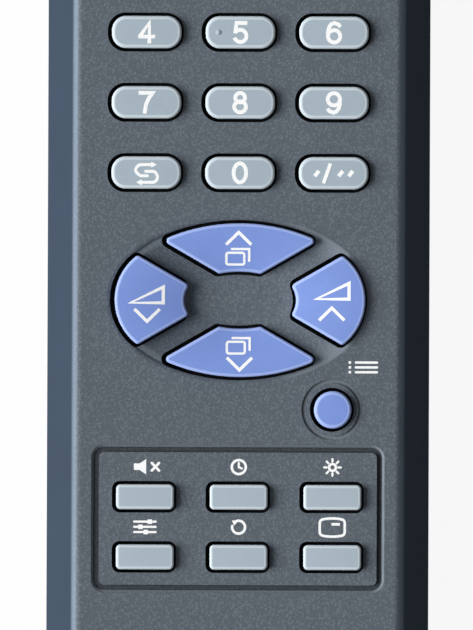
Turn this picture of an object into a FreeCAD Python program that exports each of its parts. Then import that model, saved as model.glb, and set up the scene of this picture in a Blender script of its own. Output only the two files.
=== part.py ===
import FreeCAD, Part

import math
import os

import Sketcher

# A remote control: two case halves, a silicone keypad, a circuit board and two cells.
# Millimetres. X to the right, Y towards the front end with its infrared window, Z up out of the keys.
# The origin lies under the middle of the case, in the plane that the back rests on.

Vector = FreeCAD.Vector
Rule = Sketcher.Constraint

SIZES = {
    # case shell
    "case_length": 148,
    "parting_height": 11.5,
    "side_slope": 19.2,
    "lower_draft": 3,
    "corner_radius": 7,
    "edge_round": 1.1,
    "lower_round": 4,
    "wall": 1.8,
    "plate": 2,
    "lap_height": 1.2,
    "lap_width": 0.9,
    "lap_gap": 0.1,
    "side_margin": 4.45,
    # keypad layout
    "column_pitch": 12,
    "row_pitch": 9,
    "pad_centre": -9,
    "pad_to_rows": 16.3,
    "rows_to_power": 14.7,
    "pad_to_menu": 14,
    "menu_to_group": 14,
    "function_pitch": 7.7,
    # keys
    "key_gap": 0.42,
    "key_proud": 1.1,
    "key_bevel": 0.35,
    "travel": 1,
    "contact_clearance": 0.07,
    "number_width": 8.9,
    "number_depth": 4.15,
    "number_corner": 1.85,
    "function_width": 7.4,
    "function_depth": 3.2,
    "function_corner": 0.6,
    "round_key": 4.8,
    "skirt": 0.7,
    "skirt_height": 1.6,
    "skirt_gap": 0.4,
    "pill_radius": 1.2,
    "nub_radius": 0.33,
    "nub_height": 0.22,
    "nub_offset": 2.8,
    # direction pad
    "pad_width": 32.1,
    "pad_depth": 19.7,
    "pad_bar": 3.18,
    "pad_bar_angle": 30,
    "pad_side_radius": 23.9,
    "pad_end_radius": 7.1,
    "pad_side_start": 3.4,
    "pad_end_start": 6.7,
    "pad_side_hollow": 13,
    "pad_end_hollow": 3,
    "pad_corner": 0.5,
    "dish_margin": 0.52,
    "dish_bevel": 0.35,
    "dish_bevel_depth": 0.25,
    "dish_depth": 1.25,
    "dish_flat": 0.34,
    # grooves in the face
    "ring_radius": 3.65,
    "ring_width": 0.5,
    "ring_depth": 0.3,
    "frame_width": 36.6,
    "frame_depth": 18,
    "frame_corner": 1.2,
    "frame_groove": 1,
    "frame_groove_depth": 0.45,
    # mat, webs and board
    "mat_thickness": 1.2,
    "web_gap": 0.3,
    "web_height": 0.4,
    "web_wall": 0.35,
    "board_thickness": 1.6,
    "board_gap": 1.1,
    "pad_film": 0.08,
    "contact_width": 1.5,
    "contact_depth": 3,
    "contact_space": 0.4,
    "chip_length": 18,
    "chip_width": 7.5,
    "chip_height": 2.2,
    "chip_stand": 0.2,
    "leg": 0.4,
    "leg_pitch": 1.6,
    "leg_reach": 0.9,
    "leg_foot": 1,
    "resonator_width": 3.2,
    "resonator_length": 7.4,
    "resonator_height": 5,
    "can_radius": 2.5,
    "can_height": 7,
    "transistor_radius": 2.3,
    "transistor_height": 4.6,
    "transistor_flat": 1.3,
    "resistor_length": 2,
    "resistor_width": 1.2,
    "resistor_height": 0.5,
    "resistor_pitch": 5,
    "post_radius": 2,
    "post_inset": 2.2,
    "post_gap": 0.15,
    "mat_margin": 1,
    "board_end_margin": 7,
    # cells, bay and door
    "cell_diameter": 10.5,
    "cell_length": 44.5,
    "cell_gap": 0.4,
    "cell_spacing": 0.7,
    "bay_wall": 1.2,
    "bay_roof": 0.9,
    "bay_to_board": 0.6,
    "spring_length": 4.6,
    "spring_wire": 0.6,
    "spring_wide": 7,
    "spring_narrow": 4.2,
    "spring_clearance": 0.02,
    "contact_sheet": 0.4,
    "door": 1.8,
    "door_recess": 0.2,
    "door_gap": 0.15,
    "door_margin": 4.5,
    "tongue": 1.2,
    "tongue_height": 1,
    "lip_height": 6,
    "rib": 1.2,
    "rib_pitch": 15,
    "rib_start": 12,
    "rib_drop": 4,
    "grip_pitch": 1.8,
    "grip_depth": 0.4,
    "grip_start": 12,
    # infrared window and front end
    "window_width": 24,
    "window_height": 6.4,
    "window_thickness": 2.4,
    "window_gap": 0.1,
    "led_diameter": 3,
    "led_length": 5.2,
    "led_flange": 0.4,
    "led_gap": 0.5,
    "lead": 0.5,
    "lead_lap": 4,
    # case screws
    "screw_inset": 7,
    "screw_to_window": 4,
    "screw_shank": 2.2,
    "screw_head": 4.2,
    "screw_length": 10,
    "screw_seat": 7,
    "screw_wall": 1.3,
    "screw_gap": 0.2,
    "boss_gap": 0.5,
    "board_screw_shank": 1.7,
    "board_screw_head": 3.2,
    "board_screw_length": 4,
    "screw_fit": 0.05,
}

# Counts, and how far a cut runs past what it cuts
NUMBER_ROWS, FUNCTION_ROWS, COLUMNS = 4, 2, 3
RIBS, GRIPS, LEGS, RESISTORS = 4, 7, 10, 4
WIRE_SIDES, SPRING_HALF_TURNS = 8, 5
PAST = 1
CLOSE = 1e-4
GROOVE_TAPER = -45

doc = FreeCAD.newDocument("remote_control")
nodes = {}


class Size:
    """A size that keeps its formula for the sheet beside its number."""

    def __init__(self, text, number):
        self.text = text
        self.number = number

    @staticmethod
    def of(value):
        return value if isinstance(value, Size) else Size(repr(value), value)

    def join(self, other, sign, number):
        return Size(f"({self.text} {sign} {other.text})", number)

    def __add__(self, other):
        other = Size.of(other)
        return self.join(other, "+", self.number + other.number)

    def __sub__(self, other):
        other = Size.of(other)
        return self.join(other, "-", self.number - other.number)

    def __mul__(self, other):
        other = Size.of(other)
        return self.join(other, "*", self.number * other.number)

    def __truediv__(self, other):
        other = Size.of(other)
        return self.join(other, "/", self.number / other.number)

    def __radd__(self, other):
        return Size.of(other) + self

    def __rsub__(self, other):
        return Size.of(other) - self

    def __rmul__(self, other):
        return Size.of(other) * self

    def __neg__(self):
        return Size(f"(-1 * {self.text})", -self.number)


def slope(angle):
    """Rise over run of an angle in degrees, as a Size."""
    return Size(f"tan({angle.text})", math.tan(math.radians(angle.number)))


class Sheet:
    """The spreadsheet of driving sizes; each attribute is one of its cells."""

    def __init__(self, sizes):
        cells = doc.addObject("Spreadsheet::Sheet", "Sizes")
        for row, (name, number) in enumerate(sizes.items(), start=1):
            cells.set(f"A{row}", str(number))
            cells.setAlias(f"A{row}", name)
            setattr(self, name, Size(f"Sizes.{name}", number))
        doc.recompute()


s = Sheet(SIZES)

# Heights, from the back to the face
FLOOR = s.wall
DOOR_TOP = s.door_recess + s.door
CELL_AXIS = DOOR_TOP + s.cell_gap + s.cell_diameter / 2
BAY_TOP = CELL_AXIS + s.cell_diameter / 2 + s.cell_gap
BOARD_UNDER = BAY_TOP + s.bay_roof + s.bay_to_board
BOARD_TOP = BOARD_UNDER + s.board_thickness
MAT_TOP = BOARD_TOP + s.mat_thickness
KEY_FOOT = MAT_TOP + s.web_height
SKIRT_TOP = KEY_FOOT + s.skirt_height
PILL_HEIGHT = s.mat_thickness + s.web_height - s.pad_film - s.contact_clearance - s.travel
PLATE_UNDER = SKIRT_TOP + s.skirt_gap
FACE = PLATE_UNDER + s.plate
KEY_TOP = FACE + s.key_proud

# Plan sizes of the case
FLAT_WIDTH = 2 * (s.column_pitch + s.number_width / 2 + s.side_margin)
CASE_WIDTH = FLAT_WIDTH + 2 * (FACE - s.parting_height) * slope(s.side_slope)
FRONT = s.case_length / 2
BACK_END = -FRONT
INNER_CORNER = s.corner_radius - s.wall

# Places of the keys
ROW_Y = [s.pad_centre + s.pad_to_rows + s.row_pitch * row for row in range(NUMBER_ROWS)]
POWER_Y = ROW_Y[-1] + s.rows_to_power
MENU_Y = s.pad_centre - s.pad_to_menu
GROUP_Y = MENU_Y - s.menu_to_group
FUNCTION_Y = [GROUP_Y + s.function_pitch * 0.36, GROUP_Y - s.function_pitch * 0.64]
LEFT, MIDDLE, RIGHT = -s.column_pitch, 0, s.column_pitch
GRIDS = ((ROW_Y[0], s.row_pitch, NUMBER_ROWS), (FUNCTION_Y[1], s.function_pitch, FUNCTION_ROWS))

# Board and its posts
BOARD_INSET = s.wall + s.board_gap + (BOARD_TOP - s.parting_height) * slope(s.side_slope)
BOARD_WIDTH = CASE_WIDTH - 2 * BOARD_INSET
WINDOW_BACK = FRONT - s.window_height * slope(s.side_slope) - s.window_thickness
LED_BASE = WINDOW_BACK - s.led_length - s.led_gap
BOARD_FRONT = LED_BASE - s.led_gap
BOARD_END = FUNCTION_Y[1] - s.board_end_margin
POST_X = BOARD_WIDTH / 2 - s.post_inset
POST_Y = [(ROW_Y[-1] + POWER_Y) / 2, MENU_Y - s.row_pitch / 2]
SCREW_X = s.window_width / 2 + s.screw_to_window
SCREW_Y = FRONT - s.screw_inset

# Chip and emitter
CHIP_Y = ROW_Y[1]
LED_Z = BOARD_UNDER - s.lead / 2
COMPONENT_Y = (ROW_Y[-1] + POWER_Y) / 2 + s.post_radius * 2

# Battery bay and door
CELL_X = (s.cell_diameter + s.cell_spacing) / 2
BAY_HALF = CELL_X + s.cell_diameter / 2 + s.cell_gap
BAY_RISE = (BAY_TOP + s.bay_roof - s.parting_height) * slope(s.side_slope)
BAY_LOW = BACK_END + s.wall + BAY_RISE + 2 * s.door_gap + s.bay_wall
BAY_LENGTH = s.cell_length + s.spring_length + 2 * s.contact_sheet
BAY_HIGH = BAY_LOW + BAY_LENGTH
DOOR_HALF = BAY_HALF + s.door_margin
DOOR_FRONT = BAY_HIGH + 2 * s.bay_wall
RAIL_TOP = FLOOR + s.door_gap + s.tongue_height
TAB_HALF = s.cell_diameter / 7
PLATE_HALF = s.cell_diameter * 0.36
LIP_HALF = DOOR_HALF + s.tongue + 3 * s.door_gap


def bind(thing, path, size):
    """Drive one property of an object from the sheet."""
    thing.setExpression(path, Size.of(size).text)


def place(thing, x=0, y=0, z=0, turn=0, path="Placement"):
    """Put an object at a place whose coordinates follow the sheet."""
    spot = FreeCAD.Placement(Vector(0, 0, 0), FreeCAD.Rotation(Vector(0, 0, 1), turn))
    setattr(thing, path, spot)
    for axis, size in (("x", x), ("y", y), ("z", z)):
        bind(thing, f"{path}.Base.{axis}", size)


def body(name):
    return doc.addObject("PartDesign::Body", name)


def sketch(owner, name, z=0, x=0, y=0, plane="XY_Plane", turn=0):
    """An empty sketch on one of the body's own origin planes, moved along and across it."""
    drawing = owner.newObject("Sketcher::SketchObject", name)
    support = [item for item in owner.Origin.OriginFeatures if item.Role == plane][0]
    drawing.AttachmentSupport = [(support, "")]
    drawing.MapMode = "FlatFace"
    place(drawing, x, y, z, turn, path="AttachmentOffset")
    return drawing


def rule(drawing, kind, *parts, size):
    """Add a dimension to a sketch and drive it from the sheet."""
    size = Size.of(size)
    index = drawing.addConstraint(Rule(kind, *parts, size.number))
    if "Sizes" in size.text:
        drawing.renameConstraint(index, f"size_{index}")
        bind(drawing, f"Constraints.size_{index}", size)


def line(drawing, start, end):
    return drawing.addGeometry(Part.LineSegment(Vector(*start, 0), Vector(*end, 0)), False)


def arc(drawing, centre, radius, first, last):
    circle = Part.Circle(Vector(*centre, 0), Vector(0, 0, 1), radius)
    return drawing.addGeometry(Part.ArcOfCircle(circle, first, last), False)


def rounded(drawing, width, depth, radius):
    """A rectangle with round corners about the sketch's origin."""
    width, depth, radius = Size.of(width), Size.of(depth), Size.of(radius)
    w, d, r = width.number / 2, depth.number / 2, radius.number
    sides = [
        line(drawing, (r - w, -d), (w - r, -d)),
        line(drawing, (w, r - d), (w, d - r)),
        line(drawing, (w - r, d), (r - w, d)),
        line(drawing, (-w, d - r), (-w, r - d)),
    ]
    middles = [(w - r, r - d), (w - r, d - r), (r - w, d - r), (r - w, r - d)]
    quarter = math.pi / 2
    bends = [arc(drawing, middles[k], r, (k + 3) * quarter, (k + 4) * quarter) for k in range(4)]
    for k in range(4):
        drawing.addConstraint(Rule("Tangent", sides[k], 2, bends[k], 1))
        drawing.addConstraint(Rule("Tangent", bends[k], 2, sides[(k + 1) % 4], 1))
        drawing.addConstraint(Rule("Vertical" if k % 2 else "Horizontal", sides[k]))
    for bend in bends[1:]:
        drawing.addConstraint(Rule("Equal", bends[0], bend))
    drawing.addConstraint(Rule("Symmetric", sides[0], 1, sides[2], 1, -1, 1))
    rule(drawing, "Radius", bends[0], size=radius)
    rule(drawing, "DistanceX", sides[3], 1, sides[1], 1, size=width)
    rule(drawing, "DistanceY", sides[0], 1, sides[2], 1, size=depth)


def box(drawing, x0, x1, y0, y1):
    """A plain rectangle between two values of x and two of y."""
    x0, x1, y0, y1 = (Size.of(value) for value in (x0, x1, y0, y1))
    left, right, low, high = (value.number for value in (x0, x1, y0, y1))
    corners = [(left, low), (right, low), (right, high), (left, high)]
    sides = [line(drawing, corners[k], corners[(k + 1) % 4]) for k in range(4)]
    for k in range(4):
        drawing.addConstraint(Rule("Coincident", sides[k], 2, sides[(k + 1) % 4], 1))
        drawing.addConstraint(Rule("Vertical" if k % 2 else "Horizontal", sides[k]))
    rule(drawing, "DistanceX", -1, 1, sides[0], 1, size=x0)
    rule(drawing, "DistanceX", -1, 1, sides[1], 1, size=x1)
    rule(drawing, "DistanceY", -1, 1, sides[0], 1, size=y0)
    rule(drawing, "DistanceY", -1, 1, sides[2], 1, size=y1)


def circle(drawing, radius, x=0, y=0):
    radius, x, y = Size.of(radius), Size.of(x), Size.of(y)
    ring = Part.Circle(Vector(x.number, y.number, 0), Vector(0, 0, 1), radius.number)
    index = drawing.addGeometry(ring, False)
    rule(drawing, "Radius", index, size=radius)
    rule(drawing, "DistanceX", -1, 1, index, 3, size=x)
    rule(drawing, "DistanceY", -1, 1, index, 3, size=y)


def ellipse(drawing, width, depth):
    """An ellipse about the sketch's origin, sized by its two axes."""
    width, depth = Size.of(width), Size.of(depth)
    shape = Part.Ellipse(Vector(width.number / 2, 0, 0), Vector(0, depth.number / 2, 0), Vector(0, 0, 0))
    index = drawing.addGeometry(shape, False)
    drawing.exposeInternalGeometry(index)
    drawing.addConstraint(Rule("Coincident", index, 3, -1, 1))
    drawing.addConstraint(Rule("Horizontal", index + 1))
    for axis, kind, size in ((index + 1, "DistanceX", width), (index + 2, "DistanceY", depth)):
        start, end = drawing.Geometry[axis].StartPoint, drawing.Geometry[axis].EndPoint
        order = (1, 2) if start.x + start.y < end.x + end.y else (2, 1)
        rule(drawing, kind, axis, order[0], axis, order[1], size=size)


def polygon(drawing, points):
    """A closed outline of straight lines through points whose coordinates follow the sheet."""
    points = [(Size.of(x), Size.of(y)) for x, y in points]
    numbers = [(x.number, y.number) for x, y in points]
    sides = [line(drawing, numbers[k - 1], numbers[k]) for k in range(len(points))]
    for k, (x, y) in enumerate(points):
        drawing.addConstraint(Rule("Coincident", sides[k], 2, sides[(k + 1) % len(points)], 1))
        rule(drawing, "DistanceX", -1, 1, sides[k], 2, size=x)
        rule(drawing, "DistanceY", -1, 1, sides[k], 2, size=y)


def sector(drawing, reach, outer, edge, angle, start, hollow):
    """A sector of the direction pad about +Y: outer arc, two straight sides and a hollow inner arc.

    The sides lean at an angle in degrees from the X axis and pass the centre at the distance edge.
    """
    lean = math.radians(angle.number)
    run, rise = math.cos(lean), math.sin(lean)
    gap, base = edge.number, reach.number - outer.number
    foot = Vector(-rise * gap, run * gap, 0)
    b = foot.x * run + (foot.y - base) * rise
    c = foot.x ** 2 + (foot.y - base) ** 2 - outer.number ** 2
    far = math.sqrt(b * b - c) - b
    near = (start.number - foot.y) / rise
    ox, oy = foot.x + far * run, foot.y + far * rise
    ix, iy = foot.x + near * run, start.number
    sink = iy - math.sqrt(hollow.number ** 2 - ix ** 2)
    tilt = math.atan2(oy - base, ox)
    bend = math.atan2(iy - sink, ix)
    top = arc(drawing, (0, base), outer.number, tilt, math.pi - tilt)
    left = line(drawing, (-ox, oy), (-ix, iy))
    inner = arc(drawing, (0, sink), hollow.number, bend, math.pi - bend)
    right = line(drawing, (ix, iy), (ox, oy))
    drawing.addConstraint(Rule("Coincident", top, 2, left, 1))
    drawing.addConstraint(Rule("Coincident", left, 2, inner, 2))
    drawing.addConstraint(Rule("Coincident", inner, 1, right, 1))
    drawing.addConstraint(Rule("Coincident", right, 2, top, 1))
    drawing.addConstraint(Rule("Symmetric", top, 1, top, 2, -2))
    drawing.addConstraint(Rule("Symmetric", inner, 1, inner, 2, -2))
    drawing.addConstraint(Rule("PointOnObject", top, 3, -2))
    drawing.addConstraint(Rule("PointOnObject", inner, 3, -2))
    rule(drawing, "Radius", top, size=outer)
    rule(drawing, "Radius", inner, size=hollow)
    rule(drawing, "DistanceY", -1, 1, top, 3, size=reach - outer)
    rule(drawing, "DistanceY", -1, 1, inner, 1, size=start)
    rule(drawing, "Distance", -1, 1, right, size=edge)
    index = drawing.addConstraint(Rule("Angle", -1, 1, right, 1, lean))
    drawing.renameConstraint(index, "lean")
    bind(drawing, "Constraints.lean", angle)


def feature(owner, kind, drawing, **settings):
    """Add a sketched feature; sizes are bound and other settings are set."""
    item = owner.newObject(f"PartDesign::{kind}", kind.lower())
    item.Profile = drawing
    item.Refine = False
    for name, value in settings.items():
        if isinstance(value, Size):
            bind(item, name, value)
        else:
            setattr(item, name, value)
    return item


def pad(owner, drawing, length, **settings):
    return feature(owner, "Pad", drawing, Length=Size.of(length), **settings)


def pocket(owner, drawing, length, **settings):
    return feature(owner, "Pocket", drawing, Length=Size.of(length), **settings)


def pattern(owner, original, drawing, pitch, count, direction="H_Axis", pitch2=0, count2=1):
    """Repeat a feature in one or two directions of its sketch."""
    item = owner.newObject("PartDesign::LinearPattern", "pattern")
    item.Originals = [original]
    item.Refine = False
    item.Direction = (drawing, [direction])
    item.Occurrences = count
    bind(item, "Length", Size.of(pitch) * (count - 1))
    if count2 > 1:
        item.Direction2 = (drawing, ["V_Axis"])
        item.Occurrences2 = count2
        bind(item, "Length2", Size.of(pitch2) * (count2 - 1))
    owner.Tip = item
    return item


def mirrored(owner, originals, plane="YZ_Plane"):
    """Repeat features on the other side of one of the body's origin planes."""
    item = owner.newObject("PartDesign::Mirrored", "mirrored")
    support = [part for part in owner.Origin.OriginFeatures if part.Role == plane][0]
    item.Originals = originals
    item.Refine = False
    item.MirrorPlane = (support, [""])
    owner.Tip = item
    return item


def dress(owner, kind, size, chosen):
    """Fillet or chamfer the edges of the body's tip that the test chooses."""
    doc.recompute()
    tip = owner.Tip
    names = [f"Edge{k}" for k, edge in enumerate(tip.Shape.Edges, start=1) if chosen(edge)]
    item = owner.newObject(f"PartDesign::{kind}", kind.lower())
    item.Base = (tip, names)
    bind(item, "Radius" if kind == "Fillet" else "Size", size)
    return item


def level(height):
    """A test for edges that lie flat at one height."""
    def test(edge):
        reach = edge.BoundBox
        return abs(reach.ZMin - height.number) + abs(reach.ZMax - height.number) < CLOSE
    return test


def group(name, parts):
    """Several solids under one node name."""
    item = doc.addObject("Part::Compound", name)
    item.Links = parts
    return item


def node(item, name):
    item.Label = name
    nodes[name] = item
    return item


# Outlines that the keys, their holes, the mat's openings and the webs share

def oblong(drawing, width, depth, corner, grow):
    """A key's rounded rectangle, or a plain one for what lies hidden outside its skirt."""
    grow = Size.of(grow)
    if grow.number < s.skirt.number:
        rounded(drawing, width + 2 * grow, depth + 2 * grow, corner + grow)
    else:
        box(drawing, -(width / 2 + grow), width / 2 + grow, -(depth / 2 + grow), depth / 2 + grow)


def number_outline(drawing, grow=0):
    oblong(drawing, s.number_width, s.number_depth, s.number_corner, grow)


def function_outline(drawing, grow=0):
    oblong(drawing, s.function_width, s.function_depth, s.function_corner, grow)


def round_outline(drawing, grow=0):
    circle(drawing, s.round_key / 2 + grow)


def side_outline(drawing, grow=0):
    """The sector above or below the pad's centre."""
    grow = Size.of(grow)
    sector(drawing, s.pad_depth / 2 + grow, s.pad_side_radius + grow, s.pad_bar / 2 - grow,
           s.pad_bar_angle, s.pad_side_start - grow, s.pad_side_hollow + 3 * grow)


def end_outline(drawing, grow=0):
    """The sector to the left or right of the pad's centre, drawn about +Y."""
    grow = Size.of(grow)
    sector(drawing, s.pad_width / 2 + grow, s.pad_end_radius + grow, s.pad_bar / 2 - grow,
           90 - s.pad_bar_angle, s.pad_end_start - grow, s.pad_end_hollow + 3 * grow)


# One row per key: name, outline, x, y, turn about Z and the distance of its pill from its origin
PAD_SIDE = (s.pad_side_start + s.pad_depth / 2) / 2
PAD_END = (s.pad_end_start + s.pad_width / 2) / 2
NUMBER_NAMES = (("recall", "0", "digits"), ("7", "8", "9"), ("4", "5", "6"), ("1", "2", "3"))
FUNCTION_NAMES = (("mute", "timer", "picture"), ("system", "normal", "display"))
KEYS = []
for outline, places, rows in ((number_outline, ROW_Y, NUMBER_NAMES),
                              (function_outline, FUNCTION_Y, FUNCTION_NAMES)):
    for y, names in zip(places, rows):
        for x, name in zip((LEFT, MIDDLE, RIGHT), names):
            KEYS.append((f"key_{name}", outline, x, y, 0, 0))
KEYS += [
    ("key_power", round_outline, LEFT, POWER_Y, 0, 0),
    ("key_source", round_outline, RIGHT, POWER_Y, 0, 0),
    ("key_menu", round_outline, RIGHT, MENU_Y, 0, 0),
    ("key_channel_up", side_outline, MIDDLE, s.pad_centre, 0, PAD_SIDE),
    ("key_channel_down", side_outline, MIDDLE, s.pad_centre, 180, PAD_SIDE),
    ("key_volume_down", end_outline, MIDDLE, s.pad_centre, 90, PAD_END),
    ("key_volume_up", end_outline, MIDDLE, s.pad_centre, 270, PAD_END),
]


def upright(edge):
    """A straight edge that stands along Z."""
    reach = edge.BoundBox
    return reach.XLength + reach.YLength < CLOSE < reach.ZLength


def key(name, outline, x, y, turn, pill_y):
    """One silicone key with its skirt, and the carbon pill under it."""
    rubber = body(f"{name}_rubber")
    stem = sketch(rubber, "stem", SKIRT_TOP)
    outline(stem)
    pad(rubber, stem, KEY_TOP - SKIRT_TOP)
    if outline in (side_outline, end_outline):
        dress(rubber, "Fillet", s.pad_corner, upright)
    dress(rubber, "Chamfer", s.key_bevel, level(KEY_TOP))
    skirt = sketch(rubber, "skirt", KEY_FOOT)
    outline(skirt, s.skirt)
    pad(rubber, skirt, s.skirt_height)
    if name == "key_5":
        nub = sketch(rubber, "nub", KEY_TOP, -s.nub_offset)
        circle(nub, s.nub_radius)
        pad(rubber, nub, s.nub_height)
    pill = doc.addObject("Part::Cylinder", f"{name}_pill")
    bind(pill, "Radius", s.pill_radius)
    bind(pill, "Height", PILL_HEIGHT)
    place(pill, 0, pill_y, KEY_FOOT - PILL_HEIGHT)
    whole = group(name, [rubber, pill])
    place(whole, x, y, 0, turn)
    return node(whole, name)


def openings(owner, height, depth, grow, **settings):
    """Cut one opening per key into a body, each from the key's own outline."""
    for outline, (y, pitch, rows) in zip((number_outline, function_outline), GRIDS):
        drawing = sketch(owner, "opening", height, LEFT, y)
        outline(drawing, grow)
        cut = pocket(owner, drawing, depth, **settings)
        pattern(owner, cut, drawing, s.column_pitch, COLUMNS, "H_Axis", pitch, rows)
    for name, outline, x, y, turn, pill_y in KEYS:
        if outline not in (number_outline, function_outline):
            drawing = sketch(owner, f"{name}_opening", height, x, y, turn=turn)
            outline(drawing, grow)
            pocket(owner, drawing, depth, **settings)


def block(owner, base, height, taper, **settings):
    """The case's outline, drawn in towards its far end by the taper."""
    drawing = sketch(owner, "outline", base)
    rounded(drawing, CASE_WIDTH, s.case_length, s.corner_radius)
    return pad(owner, drawing, height, TaperAngle=-taper, **settings)


def screw_circles(drawing, radius):
    for side in (-1, 1):
        circle(drawing, radius, side * SCREW_X, SCREW_Y)


def post_circles(drawing, radius):
    for y in POST_Y:
        for side in (-1, 1):
            circle(drawing, radius, side * POST_X, y)


# Upper case

def pad_corner(edge):
    """A corner of one of the direction pad's openings in the plate."""
    middle = edge.BoundBox.Center
    in_width = abs(middle.x) < (s.pad_width / 2 + s.pad_bar).number
    in_depth = abs(middle.y - s.pad_centre.number) < (s.pad_depth / 2 + s.pad_bar).number
    return upright(edge) and in_width and in_depth and middle.z > PLATE_UNDER.number


def upper_case():
    shell = body("upper_case")
    block(shell, s.parting_height, FACE - s.parting_height, s.side_slope)
    dress(shell, "Fillet", s.edge_round, level(FACE))
    cavity = sketch(shell, "cavity", s.parting_height)
    rounded(cavity, CASE_WIDTH - 2 * s.wall, s.case_length - 2 * s.wall, INNER_CORNER)
    pocket(shell, cavity, PLATE_UNDER - s.parting_height, Reversed=True, TaperAngle=-s.side_slope)
    rebate = sketch(shell, "rebate", s.parting_height)
    inset = 2 * (s.wall - s.lap_width)
    rounded(rebate, CASE_WIDTH - inset, s.case_length - inset, s.corner_radius - inset / 2)
    pocket(shell, rebate, s.lap_height + s.lap_gap, Reversed=True, TaperAngle=-s.side_slope)
    # bosses for the case screws and posts for the board
    bosses = sketch(shell, "bosses", PLATE_UNDER)
    screw_circles(bosses, s.screw_shank / 2 + s.screw_wall)
    pad(shell, bosses, PLATE_UNDER - s.parting_height - s.boss_gap, Reversed=True)
    pilots = sketch(shell, "pilots", s.parting_height)
    screw_circles(pilots, s.screw_shank / 2)
    pocket(shell, pilots, s.screw_seat + s.screw_length + s.boss_gap - s.parting_height, Reversed=True)
    posts = sketch(shell, "posts", PLATE_UNDER)
    post_circles(posts, s.post_radius)
    pad(shell, posts, PLATE_UNDER - BOARD_TOP, Reversed=True)
    post_pilots = sketch(shell, "post_pilots", BOARD_TOP)
    post_circles(post_pilots, s.board_screw_shank / 2)
    pocket(shell, post_pilots, (PLATE_UNDER - BOARD_TOP) * 0.9, Reversed=True)
    window = sketch(shell, "window_notch", s.parting_height)
    half = s.window_width / 2 + s.window_gap
    box(window, -half, half, LED_BASE, FRONT + PAST)
    pocket(shell, window, s.window_height + s.window_gap, Reversed=True)
    # the face: key holes, oval dish and grooves
    openings(shell, FACE, s.plate + PAST / 2, s.key_gap)
    dress(shell, "Fillet", s.pad_corner + s.key_gap, pad_corner)
    dish(shell)
    for x, y in ((LEFT, POWER_Y), (RIGHT, POWER_Y), (RIGHT, MENU_Y)):
        ring = sketch(shell, "ring", FACE, x, y)
        circle(ring, s.ring_radius + s.ring_width / 2)
        circle(ring, s.ring_radius - s.ring_width / 2)
        pocket(shell, ring, s.ring_depth)
    frame = sketch(shell, "frame_groove", FACE, 0, GROUP_Y)
    for side in (1, -1):
        grow = side * s.frame_groove
        rounded(frame, s.frame_width + grow, s.frame_depth + grow, s.frame_corner + grow / 2)
    pocket(shell, frame, s.frame_groove_depth, TaperAngle=GROOVE_TAPER)
    return node(shell, "upper_case")


def dish(shell):
    """The oval dish round the direction pad: short rim, even slope and flat centre."""
    width = s.pad_width + 2 * s.dish_margin
    depth = s.pad_depth + 2 * s.dish_margin
    levels = (
        (0, width, depth),
        (s.dish_bevel_depth, width - 2 * s.dish_bevel, depth - 2 * s.dish_bevel),
        (s.dish_depth, width * s.dish_flat, depth * s.dish_flat),
    )
    ovals = []
    for drop, wide, deep in levels:
        oval = sketch(shell, "oval", FACE - drop, 0, s.pad_centre)
        ellipse(oval, wide, deep)
        ovals.append(oval)
    loft = shell.newObject("PartDesign::SubtractiveLoft", "dish")
    loft.Profile = ovals[0]
    loft.Sections = ovals[1:]
    loft.Ruled = True


# Lower case with the battery bay

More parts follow.
